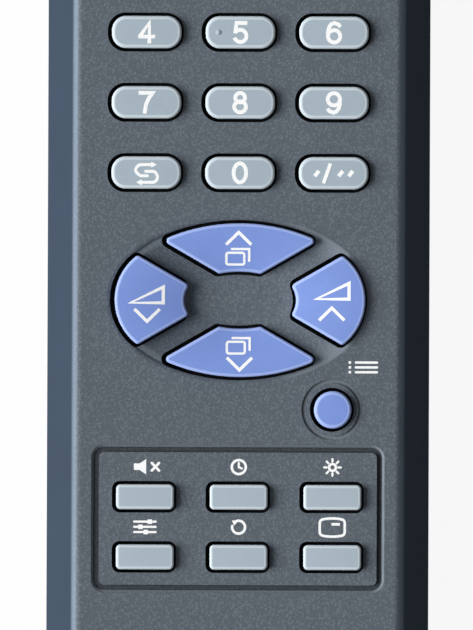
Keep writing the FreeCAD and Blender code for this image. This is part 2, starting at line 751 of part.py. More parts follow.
def lower_case():
    shell = body("lower_case")
    block(shell, s.parting_height, s.parting_height, s.lower_draft, Reversed=True)
    dress(shell, "Fillet", s.lower_round, level(Size.of(0)))
    lap = sketch(shell, "lap", s.parting_height)
    inset = 2 * (s.wall - s.lap_width + s.lap_gap)
    rounded(lap, CASE_WIDTH - inset, s.case_length - inset, s.corner_radius - inset / 2)
    pad(shell, lap, s.lap_height, TaperAngle=-s.side_slope)
    cavity = sketch(shell, "cavity", s.parting_height + s.lap_height)
    inset = 2 * (s.wall + s.lap_height * slope(s.side_slope))
    rounded(cavity, CASE_WIDTH - inset, s.case_length - inset, INNER_CORNER)
    pocket(shell, cavity, s.parting_height + s.lap_height - FLOOR, TaperAngle=-s.lower_draft)
    # tub over the door and taller block over the cells
    tub = sketch(shell, "tub", FLOOR / 2)
    half = DOOR_HALF + s.tongue + 2 * s.door_gap + s.bay_wall
    box(tub, -half, half, BACK_END + s.wall * 1.3, DOOR_FRONT + s.door_gap + s.bay_wall)
    pad(shell, tub, RAIL_TOP + s.door_gap + s.bay_wall - FLOOR / 2)
    bay = sketch(shell, "bay_block", FLOOR / 2)
    box(bay, -(BAY_HALF + s.bay_wall), BAY_HALF + s.bay_wall, BAY_LOW - s.bay_wall, BAY_HIGH + s.bay_wall)
    pad(shell, bay, BAY_TOP + s.bay_roof - FLOOR / 2)
    # posts for the case screws, with ribs across the floor
    posts = sketch(shell, "screw_posts", FLOOR / 2)
    screw_circles(posts, s.screw_head / 2 + s.screw_wall)
    pad(shell, posts, s.parting_height + s.boss_gap / 2 - FLOOR / 2)
    ribs = sketch(shell, "floor_rib", FLOOR / 2, 0, DOOR_FRONT + s.rib_start)
    rib_half = CASE_WIDTH / 2 - s.wall
    box(ribs, -rib_half, rib_half, -s.rib / 2, s.rib / 2)
    rib = pad(shell, ribs, s.parting_height - s.rib_drop - FLOOR / 2)
    pattern(shell, rib, ribs, s.rib_pitch, RIBS, "V_Axis")
    # door opening, rails for its tongues and the opening for its lip
    door = sketch(shell, "door_opening")
    box(door, -(DOOR_HALF + s.door_gap), DOOR_HALF + s.door_gap, BACK_END - PAST, DOOR_FRONT + s.door_gap)
    pocket(shell, door, RAIL_TOP + s.door_gap, Reversed=True)
    rails = sketch(shell, "rails", FLOOR)
    half = DOOR_HALF + s.tongue + s.door_gap
    box(rails, -half, half, BACK_END + s.wall * 0.7, DOOR_FRONT + s.door_gap)
    pocket(shell, rails, RAIL_TOP + s.door_gap - FLOOR, Reversed=True)
    lip = sketch(shell, "lip_opening")
    half = LIP_HALF + s.door_gap
    box(lip, -half, half, BACK_END - PAST, BACK_END + s.wall + s.door_gap)
    pocket(shell, lip, s.lip_height + s.door_gap, Reversed=True)
    # the bay: open below, with a half-round cradle over each cell
    room = sketch(shell, "bay_room", RAIL_TOP)
    box(room, -BAY_HALF, BAY_HALF, BAY_LOW, BAY_HIGH)
    pocket(shell, room, CELL_AXIS - RAIL_TOP, Reversed=True)
    cradle = sketch(shell, "cradle", -BAY_LOW, 0, 0, "XZ_Plane")
    for side in (-1, 1):
        circle(cradle, s.cell_diameter / 2 + s.cell_gap, side * CELL_X, CELL_AXIS)
    pocket(shell, cradle, BAY_LENGTH)
    slots = sketch(shell, "contact_slots", CELL_AXIS)
    for side in (-1, 1):
        middle = side * CELL_X
        half = TAB_HALF + s.door_gap
        box(slots, middle - half, middle + half, BAY_HIGH - s.contact_sheet - s.door_gap, BAY_HIGH)
    pocket(shell, slots, BAY_TOP + 2 * s.bay_roof - CELL_AXIS, Reversed=True)
    # holes for the case screws
    seats = sketch(shell, "screw_seats")
    screw_circles(seats, s.screw_head / 2 + s.screw_gap)
    pocket(shell, seats, s.screw_seat, Reversed=True)
    holes = sketch(shell, "screw_holes")
    screw_circles(holes, s.screw_shank / 2 + s.screw_gap)
    pocket(shell, holes, s.parting_height + PAST, Reversed=True)
    notch = sketch(shell, "window_notch", s.parting_height)
    half = s.window_width / 2 + s.window_gap
    box(notch, -half, half, LED_BASE, FRONT + PAST)
    pocket(shell, notch, s.lap_height + PAST, Reversed=True)
    return node(shell, "lower_case")


def battery_door():
    """The door is cut out of the case's own outer form, so that its end follows the rounded edge."""
    door = body("battery_door")
    block(door, s.parting_height, s.parting_height, s.lower_draft, Reversed=True)
    dress(door, "Fillet", s.lower_round, level(Size.of(0)))
    around = sketch(door, "around", s.parting_height + PAST)
    box(around, -CASE_WIDTH, CASE_WIDTH, BACK_END * 1.5, FRONT * 1.5)
    box(around, -LIP_HALF, LIP_HALF, BACK_END * 1.2, DOOR_FRONT)
    pocket(door, around, s.parting_height + 2 * PAST)
    inside = sketch(door, "inside", s.parting_height + PAST)
    box(inside, -CASE_WIDTH, CASE_WIDTH, BACK_END + s.wall, DOOR_FRONT + PAST)
    pocket(door, inside, s.parting_height + PAST - DOOR_TOP)
    above = sketch(door, "above_lip", s.parting_height + PAST)
    box(above, -CASE_WIDTH, CASE_WIDTH, BACK_END - PAST, DOOR_FRONT + PAST)
    pocket(door, above, s.parting_height + PAST - s.lip_height)
    sides = sketch(door, "sides", s.parting_height)
    box(sides, DOOR_HALF, CASE_WIDTH, BACK_END + s.wall, DOOR_FRONT + PAST)
    side = pocket(door, sides, s.parting_height + PAST)
    mirrored(door, [side])
    tongues = sketch(door, "tongue", FLOOR + s.door_gap)
    box(tongues, DOOR_HALF - s.rib, DOOR_HALF + s.tongue, BACK_END + s.wall * 0.7, DOOR_FRONT)
    tongue = pad(door, tongues, s.tongue_height)
    mirrored(door, [tongue])
    under = sketch(door, "recess", -PAST)
    box(under, -CASE_WIDTH, CASE_WIDTH, BACK_END - PAST, DOOR_FRONT + PAST)
    pocket(door, under, s.door_recess + PAST, Reversed=True)
    grip = sketch(door, "grip", s.door_recess, 0, BACK_END + s.grip_start)
    box(grip, -DOOR_HALF / 2, DOOR_HALF / 2, -s.grip_pitch / 4, s.grip_pitch / 4)
    groove = pocket(door, grip, s.grip_depth, Reversed=True)
    pattern(door, groove, grip, s.grip_pitch, GRIPS, "V_Axis")
    return node(door, "battery_door")


def ir_window():
    """A smoked block in the front end, cut out of the case's own sloping form."""
    window = body("ir_window")
    block(window, s.parting_height, FACE - s.parting_height, s.side_slope)
    around = sketch(window, "around", FACE + PAST)
    box(around, -CASE_WIDTH, CASE_WIDTH, BACK_END * 1.5, FRONT * 1.5)
    half = s.window_width / 2
    box(around, -half, half, WINDOW_BACK, FRONT * 1.2)
    pocket(window, around, FACE + 2 * PAST - s.parting_height)
    above = sketch(window, "above", FACE + PAST)
    box(above, -CASE_WIDTH, CASE_WIDTH, BACK_END, FRONT + PAST)
    pocket(window, above, FACE + PAST - s.parting_height - s.window_height)
    return node(window, "ir_window")


# Keypad mat and the webs that carry the keys

def keypad_mat():
    mat = body("keypad_mat")
    low, high = BOARD_END + s.mat_margin, BOARD_FRONT - s.mat_margin
    sheet = sketch(mat, "sheet", BOARD_TOP, 0, (low + high) / 2)
    rounded(sheet, BOARD_WIDTH - s.mat_margin, high - low, s.mat_margin * 2)
    pad(mat, sheet, s.mat_thickness)
    openings(mat, BOARD_TOP, s.mat_thickness + PAST, s.skirt + s.web_gap, Reversed=True)
    holes = sketch(mat, "post_holes", BOARD_TOP)
    post_circles(holes, s.post_radius + s.post_gap)
    pocket(mat, holes, s.mat_thickness + PAST, Reversed=True)
    return node(mat, "keypad_mat")


def web(name, outline, x, y, turn):
    """The thin cone that joins one key's skirt to the mat."""
    cone = body(f"{name}_web")
    lean = Size(f"atan(({s.web_gap.text} + {s.web_wall.text}) / {s.web_height.text})",
                math.degrees(math.atan((s.web_gap.number + s.web_wall.number) / s.web_height.number)))
    outer = sketch(cone, "outer", MAT_TOP)
    outline(outer, s.skirt + s.web_gap + s.web_wall)
    pad(cone, outer, s.web_height, TaperAngle=-lean)
    inner = sketch(cone, "inner", MAT_TOP)
    outline(inner, s.skirt + s.web_gap)
    pocket(cone, inner, s.web_height, Reversed=True, TaperAngle=-lean)
    place(cone, x, y, 0, turn)
    return cone


# Circuit board and its parts

def circuit_board():
    board = body("circuit_board")
    plate = sketch(board, "plate", BOARD_UNDER, 0, (BOARD_FRONT + BOARD_END) / 2)
    rounded(plate, BOARD_WIDTH, BOARD_FRONT - BOARD_END, s.mat_margin)
    pad(board, plate, s.board_thickness)
    holes = sketch(board, "holes", BOARD_UNDER)
    post_circles(holes, s.board_screw_shank / 2 + s.post_gap)
    pocket(board, holes, s.board_thickness + PAST, Reversed=True)
    return node(board, "circuit_board")


def contact_pads():
    """A split carbon pad on the board under each key."""
    film = body("contact_pads")

    def pair(x, y, turn=0):
        drawing = sketch(film, "pair", BOARD_TOP, x, y, turn=turn)
        near, far = s.contact_space / 2, s.contact_space / 2 + s.contact_width
        half = s.contact_depth / 2
        box(drawing, -far, -near, -half, half)
        box(drawing, near, far, -half, half)
        return drawing, pad(film, drawing, s.pad_film)

    for y, pitch, rows in GRIDS:
        drawing, first = pair(LEFT, y)
        pattern(film, first, drawing, s.column_pitch, COLUMNS, "H_Axis", pitch, rows)
    for x, y in ((LEFT, POWER_Y), (RIGHT, POWER_Y), (RIGHT, MENU_Y), (MIDDLE, s.pad_centre - PAD_SIDE),
                 (MIDDLE, s.pad_centre + PAD_SIDE), (-PAD_END, s.pad_centre), (PAD_END, s.pad_centre)):
        pair(x, y)
    return node(film, "contact_pads")


def control_chip():
    """A flat package under the board."""
    chip = body("control_chip")
    case = sketch(chip, "case", BOARD_UNDER - s.chip_stand, 0, CHIP_Y)
    box(case, -s.chip_width / 2, s.chip_width / 2, -s.chip_length / 2, s.chip_length / 2)
    pad(chip, case, s.chip_height, Reversed=True)
    return node(chip, "control_chip")


def chip_legs():
    """Two rows of bent legs that carry the chip on the board's underside."""
    legs = body("chip_legs")
    first = CHIP_Y - s.leg_pitch * (LEGS - 1) / 2 - s.leg / 2
    profile = sketch(legs, "leg", -first, 0, BOARD_UNDER, "XZ_Plane")
    half, drop, sheet = s.chip_width / 2, s.chip_stand + s.chip_height / 2, s.leg / 2
    out, foot = half + s.leg_reach, half + s.leg_reach + s.leg_foot
    for side in (-1, 1):
        polygon(profile, [(side * half, sheet - drop), (side * half, -drop), (side * out, -drop),
                          (side * out, -sheet), (side * foot, -sheet), (side * foot, 0),
                          (side * (out - sheet), 0), (side * (out - sheet), sheet - drop)])
    leg = pad(legs, profile, s.leg, Reversed=True)
    row = pattern(legs, leg, profile, s.leg_pitch, LEGS, "N_Axis")
    row.Reversed = True
    return node(legs, "chip_legs")


def hanging(name, x, y, depth, draw):
    """A component that hangs from the board's underside."""
    item = body(name)
    drawing = sketch(item, "outline", BOARD_UNDER, x, y)
    draw(drawing)
    pad(item, drawing, depth, Reversed=True)
    return item


def small_components():
    """Resonator, capacitor, transistor and resistors under the board."""
    def oval(drawing):
        rounded(drawing, s.resonator_width, s.resonator_length, s.resonator_width * 0.45)

    resonator = hanging("resonator", RIGHT, CHIP_Y, s.resonator_height, oval)
    dress(resonator, "Chamfer", s.resonator_width / 6, level(BOARD_UNDER - s.resonator_height))
    node(resonator, "resonator")
    can = hanging("capacitor", LEFT, COMPONENT_Y, s.can_height, lambda drawing: circle(drawing, s.can_radius))
    dress(can, "Chamfer", s.can_radius / 6, level(BOARD_UNDER - s.can_height))
    node(can, "capacitor")
    driver = hanging("driver_transistor", RIGHT, COMPONENT_Y, s.transistor_height,
                     lambda drawing: circle(drawing, s.transistor_radius))
    flat = sketch(driver, "flat", BOARD_UNDER, RIGHT, COMPONENT_Y)
    beyond = s.transistor_radius + PAST
    box(flat, -beyond, beyond, s.transistor_flat, beyond)
    pocket(driver, flat, s.transistor_height + PAST)
    node(driver, "driver_transistor")
    resistors = body("resistors")
    drawing = sketch(resistors, "chip", BOARD_UNDER, LEFT, ROW_Y[0])
    half, across_half = s.resistor_length / 2, s.resistor_width / 2
    box(drawing, -half, half, -across_half, across_half)
    first = pad(resistors, drawing, s.resistor_height, Reversed=True)
    pattern(resistors, first, drawing, s.resistor_pitch, RESISTORS, "V_Axis")
    node(resistors, "resistors")


def across(y):
    """A test for edges that lie flat at one value of Y."""
    def test(edge):
        reach = edge.BoundBox
        return abs(reach.YMin - y.number) + abs(reach.YMax - y.number) < CLOSE
    return test


def infrared_led():
    """The emitter behind the window, and its two leads under the board."""
    led = body("ir_led")
    flange = sketch(led, "flange", -LED_BASE, 0, LED_Z, "XZ_Plane")
    circle(flange, s.led_diameter / 2 + s.led_flange)
    pad(led, flange, s.led_flange * 2, Reversed=True)
    dome = sketch(led, "dome", -LED_BASE, 0, LED_Z, "XZ_Plane")
    circle(dome, s.led_diameter / 2)
    pad(led, dome, s.led_length, Reversed=True)
    dress(led, "Fillet", s.led_diameter * 0.48, across(LED_BASE + s.led_length))
    node(led, "ir_led")
    leads = body("led_leads")
    drawing = sketch(leads, "lead", LED_Z - s.lead / 2)
    for side in (-1, 1):
        middle = side * (s.led_diameter / 2 - s.lead / 2)
        box(drawing, middle - s.lead / 2, middle + s.lead / 2, BOARD_FRONT - s.lead_lap, LED_BASE)
    pad(leads, drawing, s.lead)
    node(leads, "led_leads")


# Cells, their contacts and springs

def cell(name, x, y, turn):
    """One cell along Y with its positive cap; the turn puts the cap at either end."""
    item = body(name)
    cap = s.cell_length * 0.02
    can = sketch(item, "can", 0, 0, 0, "XZ_Plane")
    circle(can, s.cell_diameter / 2)
    pad(item, can, s.cell_length - cap, Reversed=True)
    dress(item, "Chamfer", cap / 2, lambda edge: edge.BoundBox.YLength < CLOSE)
    nub = sketch(item, "nub", -(s.cell_length - cap * 2), 0, 0, "XZ_Plane")
    circle(nub, s.cell_diameter * 0.18)
    pad(item, nub, cap * 2, Reversed=True)
    place(item, x, y, CELL_AXIS, turn)
    return node(item, name)


def end_contacts():
    """Sheet-metal contacts at the front end of the bay, each with a tab up to the board."""
    for name, side in (("positive_contact", -1), ("negative_contact", 1)):
        item = body(name)
        face = sketch(item, "face", -(BAY_HIGH - s.contact_sheet), side * CELL_X, 0, "XZ_Plane")
        box(face, -PLATE_HALF, PLATE_HALF, CELL_AXIS - PLATE_HALF, CELL_AXIS + PLATE_HALF)
        pad(item, face, s.contact_sheet, Reversed=True)
        tab = sketch(item, "tab", -(BAY_HIGH - s.contact_sheet), side * CELL_X, 0, "XZ_Plane")
        box(tab, -TAB_HALF, TAB_HALF, CELL_AXIS, BOARD_UNDER)
        pad(item, tab, s.contact_sheet, Reversed=True)
        node(item, name)


def bridge_contact():
    """The sheet at the far end of the bay that joins the two cells."""
    item = body("bridge_contact")
    for low, high, bottom, top in (
            (-(CELL_X + PLATE_HALF), -(CELL_X - PLATE_HALF), -PLATE_HALF, PLATE_HALF),
            (CELL_X - PLATE_HALF, CELL_X + PLATE_HALF, -PLATE_HALF, PLATE_HALF),
            (-CELL_X, CELL_X, -PLATE_HALF, -PLATE_HALF / 4)):
        drawing = sketch(item, "sheet", -BAY_LOW, 0, CELL_AXIS, "XZ_Plane")
        box(drawing, low, high, bottom, top)
        pad(item, drawing, s.contact_sheet, Reversed=True)
    return node(item, "bridge_contact")


def smooth_arcs(start, lead, end, follow):
    """Two arcs that leave one point along a direction and reach the next along another."""
    step, both = end - start, lead + follow
    turn = 2 * (1 - lead.dot(follow))
    reach = (math.sqrt(step.dot(both) ** 2 + turn * step.dot(step)) - step.dot(both)) / turn
    first, last = start + lead * reach, end - follow * reach
    joint = (first + last) / 2
    return ((start, lead, joint), (joint, (last - first).normalize(), end))


def bend(start, lead, end):
    """The arc that leaves a point along a direction and reaches another point."""
    chord = end - start
    axis = lead.cross(chord).normalize()
    inward = axis.cross(lead)
    centre = start + inward * (chord.dot(chord) / (2 * chord.dot(inward)))
    middle = centre + FreeCAD.Rotation(axis, math.degrees(lead.getAngle(chord))).multVec(start - centre)
    return Part.Arc(start, middle, end).toShape()


def coil_spring(name, x, y, turn):
    """A cone-shaped coil of wire along Y, wide at its foot, on two arcs for each half turn."""
    wire = SIZES["spring_wire"] / 2
    clear = wire + SIZES["spring_clearance"]
    length = SIZES["spring_length"] - 2 * clear
    wide = SIZES["spring_wide"] / 2
    narrow = SIZES["spring_narrow"] / 2

    def spot(part):
        angle = math.pi * SPRING_HALF_TURNS * part
        radius = wide + (narrow - wide) * part
        return Vector(radius * math.cos(angle), clear + length * part, radius * math.sin(angle))

    def heading(part):
        return (spot(part + CLOSE) - spot(part - CLOSE)).normalize()

    edges = []
    for k in range(SPRING_HALF_TURNS):
        first, last = k / SPRING_HALF_TURNS, (k + 1) / SPRING_HALF_TURNS
        for start, lead, end in smooth_arcs(spot(first), heading(first), spot(last), heading(last)):
            edges.append(bend(start, lead, end))
    out = heading(0).cross(Vector(0, 1, 0)).normalize()
    up = heading(0).cross(out)
    corners = []
    for k in range(WIRE_SIDES + 1):
        angle = 2 * math.pi * (k + 0.5) / WIRE_SIDES
        corners.append(spot(0) + out * (wire * math.cos(angle)) + up * (wire * math.sin(angle)))
    item = doc.addObject("Part::Feature", name)
    item.Shape = Part.Wire(edges).makePipeShell([Part.makePolygon(corners)], True, False)
    place(item, x, y, CELL_AXIS, turn)
    return item


# Screws

def screws(name, circles, seat, head, shank, reach):
    """A set of screws driven upwards: pan heads under the seat, shanks above it."""
    item = body(name)
    heads = sketch(item, "heads", seat)
    circles(heads, head / 2)
    pad(item, heads, head * 0.38, Reversed=True)
    shanks = sketch(item, "shanks", seat)
    circles(shanks, shank / 2 - s.screw_fit)
    pad(item, shanks, reach)
    return node(item, name)


def build():
    """Every sub-part of the remote control, from the case inwards."""
    upper_case()
    lower_case()
    battery_door()
    ir_window()
    for row in KEYS:
        key(*row)
    keypad_mat()
    node(group("keypad_webs", [web(*row[:5]) for row in KEYS]), "keypad_webs")
    circuit_board()
    contact_pads()
    control_chip()
    chip_legs()
    small_components()
    infrared_led()
    low = BAY_LOW + s.contact_sheet
    high = BAY_HIGH - s.contact_sheet
    cell("battery_cell_left", -CELL_X, low + s.spring_length, 0)
    cell("battery_cell_right", CELL_X, high - s.spring_length, 180)
    end_contacts()
    bridge_contact()
    left_spring = coil_spring("left_spring", -CELL_X, low, 0)
    right_spring = coil_spring("right_spring", CELL_X, high, 180)
    node(group("battery_springs", [left_spring, right_spring]), "battery_springs")
    screws("case_screws", screw_circles, s.screw_seat, s.screw_head, s.screw_shank, s.screw_length)
    screws("board_screws", post_circles, BOARD_UNDER, s.board_screw_head, s.board_screw_shank,
           s.board_screw_length)


def export():
    """Check every object and write one file per node."""
    doc.recompute()
    for item in doc.Objects:
        if "Invalid" in item.State or "Error" in item.State:
            raise RuntimeError(f"{item.Name} failed: {item.State}")
    for name, item in nodes.items():
        if item.Shape.isNull() or not item.Shape.isValid():
            raise RuntimeError(f"{name} has no valid shape")
    os.makedirs("parts", exist_ok=True)
    for name, item in nodes.items():
        item.Shape.exportStep(f"parts/{name}.step")
        print(name, len(item.Shape.Solids), round(item.Shape.Volume, 2))


build()
export()
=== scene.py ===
import logging
import math
from abc import ABC, abstractmethod
from collections.abc import Callable, Iterable, Sequence
from dataclasses import dataclass, field
from enum import Enum
from typing import Any

import bmesh
import bpy
from mathutils import Euler, Matrix, Vector
from mathutils.bvhtree import BVHTree
from mathutils.geometry import delaunay_2d_cdt


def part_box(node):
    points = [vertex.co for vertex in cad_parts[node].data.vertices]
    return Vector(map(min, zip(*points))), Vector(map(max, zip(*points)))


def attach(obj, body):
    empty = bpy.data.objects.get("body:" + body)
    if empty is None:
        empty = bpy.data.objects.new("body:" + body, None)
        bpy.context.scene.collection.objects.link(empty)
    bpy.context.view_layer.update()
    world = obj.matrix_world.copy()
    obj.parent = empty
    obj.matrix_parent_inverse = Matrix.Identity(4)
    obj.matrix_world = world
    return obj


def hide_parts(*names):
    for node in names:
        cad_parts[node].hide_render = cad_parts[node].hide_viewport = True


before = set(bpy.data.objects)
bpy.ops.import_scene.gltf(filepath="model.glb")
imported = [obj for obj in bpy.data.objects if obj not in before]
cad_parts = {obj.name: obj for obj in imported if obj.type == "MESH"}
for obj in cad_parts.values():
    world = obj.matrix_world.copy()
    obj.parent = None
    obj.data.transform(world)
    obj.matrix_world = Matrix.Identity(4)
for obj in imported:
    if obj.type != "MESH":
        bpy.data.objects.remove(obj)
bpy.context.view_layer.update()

# The looks of a remote control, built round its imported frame.
# Metres. X to the right, Y towards the front end with its infrared window, Z up out of the keys.

MM = 0.001
EDGE = "edge"
log = logging.getLogger("remote_control")

Colour = tuple[float, float, float]
Point = tuple[float, float]


def srgb(red: int, green: int, blue: int) -> Colour:
    """Turn a screen colour of 0 to 255 into the linear colour that a shader takes."""
    def linear(level: int) -> float:
        """One channel."""
        share = level / 255
        return share / 12.92 if share <= 0.04045 else ((share + 0.055) / 1.055) ** 2.4

    return linear(red), linear(green), linear(blue)


# Node trees

class Signal:
    """A socket that can stand in a Python expression; each operator adds its Math node."""

    def __init__(self, graph: "Graph", socket: bpy.types.NodeSocket) -> None:
        """Keep the socket and the graph that new nodes go to."""
        self.graph = graph
        self.socket = socket

    def __add__(self, other: "Value") -> "Signal":
        """Sum."""
        return self.graph.maths("ADD", self, other)

    def __sub__(self, other: "Value") -> "Signal":
        """Difference."""
        return self.graph.maths("SUBTRACT", self, other)

    def __rsub__(self, other: "Value") -> "Signal":
        """Difference the other way round."""
        return self.graph.maths("SUBTRACT", other, self)

    def __mul__(self, other: "Value") -> "Signal":
        """Product."""
        return self.graph.maths("MULTIPLY", self, other)

    def __truediv__(self, other: "Value") -> "Signal":
        """Quotient."""
        return self.graph.maths("DIVIDE", self, other)

    def __pow__(self, other: "Value") -> "Signal":
        """Power."""
        return self.graph.maths("POWER", self, other)

    def __mod__(self, other: "Value") -> "Signal":
        """Remainder, never negative."""
        return self.graph.maths("FLOORED_MODULO", self, other)

    __radd__ = __add__
    __rmul__ = __mul__

    def size(self) -> "Signal":
        """The value without its sign."""
        return self.graph.maths("ABSOLUTE", self, 0)

    def steps(self, low: "Value", high: "Value") -> "Signal":
        """A smooth step that is 0 at low and 1 at high."""
        settings = {"interpolation_type": "SMOOTHSTEP"}
        node = self.graph.node("ShaderNodeMapRange", settings, {"Value": self, "From Min": low, "From Max": high})
        return self.graph.out(node)


Value = Signal | float | int


class Graph:
    """A node tree that is filled by expressions."""

    def __init__(self, tree: bpy.types.NodeTree) -> None:
        """Keep the tree."""
        self.tree = tree

    def node(self, kind: str, settings: dict[str, Any] | None = None,
             sockets: dict[str | int, Any] | None = None) -> bpy.types.Node:
        """Add a node.

        Args:
            kind: the node's type.
            settings: its properties, which are set before its sockets. "stops" fills a colour ramp.
            sockets: a value or a Signal for each named or numbered input.

        Returns:
            The new node.
        """
        made = self.tree.nodes.new(kind)
        for name, value in (settings or {}).items():
            if name == "stops":
                self.fill_ramp(made.color_ramp, value)
            else:
                setattr(made, name, value)
        for name, value in (sockets or {}).items():
            if isinstance(value, Signal):
                self.tree.links.new(value.socket, made.inputs[name])
            else:
                made.inputs[name].default_value = value
        return made

    @staticmethod
    def fill_ramp(ramp: bpy.types.ColorRamp, stops: Sequence[tuple[float, Colour]]) -> None:
        """Give a colour ramp its stops."""
        while len(ramp.elements) < len(stops):
            ramp.elements.new(0.5)
        for element, (place, colour) in zip(ramp.elements, stops):
            element.position = place
            element.color = (*colour, 1)

    def out(self, node: bpy.types.Node, name: str | int = 0) -> Signal:
        """One output of a node as a Signal."""
        return Signal(self, node.outputs[name])

    def maths(self, operation: str, first: Value, second: Value) -> Signal:
        """A Math node with two values."""
        return self.out(self.node("ShaderNodeMath", {"operation": operation}, {0: first, 1: second}))


class Shader(Graph):
    """A material's node tree on Object coordinates."""

    def __init__(self, name: str) -> None:
        """Start an empty material."""
        self.material = bpy.data.materials.new(name)
        self.material.use_nodes = True
        super().__init__(self.material.node_tree)
        self.tree.nodes.clear()
        self.place = self.out(self.node("ShaderNodeTexCoord"), "Object")

    def axes(self) -> tuple[Signal, Signal, Signal]:
        """The object's x, y and z in metres."""
        parts = self.node("ShaderNodeSeparateXYZ", {}, {0: self.place})
        return self.out(parts, 0), self.out(parts, 1), self.out(parts, 2)

    def noise(self, size: float, detail: float = 2, roughness: float = 0.5) -> Signal:
        """Noise from 0 to 1 whose features are about one size, in metres, across."""
        sockets = {"Vector": self.place, "Scale": 1 / size, "Detail": detail, "Roughness": roughness}
        return self.out(self.node("ShaderNodeTexNoise", {}, sockets))

    def cells(self, size: float) -> Signal:
        """Distance from the middle of random cells of about one size, in metres."""
        return self.out(self.node("ShaderNodeTexVoronoi", {}, {"Vector": self.place, "Scale": 1 / size}))

    def attribute(self, name: str) -> Signal:
        """A number that the mesh itself carries."""
        return self.out(self.node("ShaderNodeAttribute", {"attribute_name": name}), "Fac")

    def blend(self, mask: Value, first: "Colour | Signal", second: "Colour | Signal") -> Signal:
        """Two colours mixed by a mask: the first where it is 0, the second where it is 1."""
        node = self.node("ShaderNodeMix", {"data_type": "RGBA"})
        for socket, value in zip((node.inputs[0], node.inputs[6], node.inputs[7]), (mask, first, second)):
            if isinstance(value, Signal):
                self.tree.links.new(value.socket, socket)
            else:
                socket.default_value = (*value, 1) if isinstance(value, tuple) else value
        return self.out(node, 2)

    def bump(self, height: Signal, depth: float) -> Signal:
        """A normal from a height of 0 to 1 that stands for a depth in metres."""
        node = self.node("ShaderNodeBump", {}, {"Strength": 1.0, "Distance": depth, "Height": height})
        return self.out(node)

    def surface(self, colour: "Colour | Signal", roughness: Value, normal: Signal | None = None,
                **constants: Any) -> bpy.types.Material:
        """Finish the material with one principled surface.

        Args:
            colour: base colour.
            roughness: value or Signal.
            normal: bumped normal, if there is one.
            **constants: other sockets by name, with _ for a space.

        Returns:
            The finished material.
        """
        sockets: dict[str | int, Any] = {"Roughness": roughness}
        sockets["Base Color"] = colour if isinstance(colour, Signal) else (*colour, 1)
        if normal:
            sockets["Normal"] = normal
        for name, value in constants.items():
            words = name.replace("_", " ")
            sockets[words] = (*value, 1) if isinstance(value, tuple) else value
        shader = self.node("ShaderNodeBsdfPrincipled", {}, sockets)
        self.node("ShaderNodeOutputMaterial", {}, {"Surface": self.out(shader)})
        return self.material


class Recipe(Graph):
    """A Geometry Nodes tree with named inputs, which makes one plain mesh."""

    def __init__(self, name: str) -> None:
        """Start an empty tree that takes and gives geometry."""
        super().__init__(bpy.data.node_groups.new(name, "GeometryNodeTree"))
        self.tree.interface.new_socket("Geometry", in_out="INPUT", socket_type="NodeSocketGeometry")
        self.tree.interface.new_socket("Geometry", in_out="OUTPUT", socket_type="NodeSocketGeometry")
        self.entry = self.tree.nodes.new("NodeGroupInput")
        self.values: dict[str, Any] = {}

    def given(self) -> Signal:
        """The geometry that the tree starts from."""
        return self.out(self.entry, 0)

    def input(self, name: str, value: float | int) -> Signal:
        """Add a named input with its value."""
        kind = "NodeSocketInt" if isinstance(value, int) else "NodeSocketFloat"
        socket = self.tree.interface.new_socket(name, in_out="INPUT", socket_type=kind)
        self.values[socket.identifier] = value
        return self.out(self.entry, len(self.tree.interface.items_tree) - 2)

    def vector(self, x: Value = 0, y: Value = 0, z: Value = 0) -> Signal:
        """Three values as a vector."""
        return self.out(self.node("ShaderNodeCombineXYZ", {}, {0: x, 1: y, 2: z}))

    def moved(self, geometry: Signal, place: Signal | Sequence[float] = (0, 0, 0),
              turn: Sequence[float] = (0, 0, 0), scale: Sequence[float] = (1, 1, 1)) -> Signal:
        """Geometry turned, scaled and moved."""
        sockets = {"Geometry": geometry, "Translation": place, "Rotation": Euler(turn), "Scale": scale}
        return self.out(self.node("GeometryNodeTransform", {}, sockets))

    def joined(self, parts: Iterable[Signal]) -> Signal:
        """Several geometries as one."""
        node = self.node("GeometryNodeJoinGeometry")
        for part in parts:
            self.tree.links.new(part.socket, node.inputs[0])
        return self.out(node)

    def swept(self, path: Signal, section: Signal) -> Signal:
        """A section swept along a curve with closed ends."""
        sockets = {"Curve": path, "Profile Curve": section, "Fill Caps": True}
        return self.out(self.node("GeometryNodeCurveToMesh", {}, sockets))

    def copies(self, points: Signal, thing: Signal, turn: Signal | None = None) -> Signal:
        """A copy of a thing on each point."""
        sockets: dict[str | int, Any] = {"Points": points, "Instance": thing}
        if turn:
            sockets["Rotation"] = turn
        return self.out(self.node("GeometryNodeInstanceOnPoints", {}, sockets))

    def mesh(self, name: str, result: Signal, material: bpy.types.Material,
             points: Sequence[Vector] = ()) -> bpy.types.Object:
        """Run the tree and keep its result as a plain mesh object.

        Args:
            name: the piece's name.
            result: the geometry to keep.
            material: what the result is made of.
            points: points that the tree starts from.

        Returns:
            The finished object, at the origin.
        """
        whole = self.out(self.node("GeometryNodeRealizeInstances", {}, {0: result}))
        dressed = self.node("GeometryNodeSetMaterial", {}, {"Geometry": whole, "Material": material})
        self.node("NodeGroupOutput", {}, {0: self.out(dressed)})
        start = bpy.data.meshes.new(f"{name}_points")
        start.from_pydata([tuple(point) for point in points] or [(0, 0, 0)], [], [])
        maker = bpy.data.objects.new(f"{name}_maker", start)
        bpy.context.scene.collection.objects.link(maker)
        modifier = maker.modifiers.new("recipe", "NODES")
        modifier.node_group = self.tree
        for identifier, value in self.values.items():
            modifier[identifier] = value
        evaluated = maker.evaluated_get(bpy.context.evaluated_depsgraph_get())
        mesh = bpy.data.meshes.new_from_object(evaluated)
        bpy.data.objects.remove(maker)
        return show(name, mesh, smooth=True)


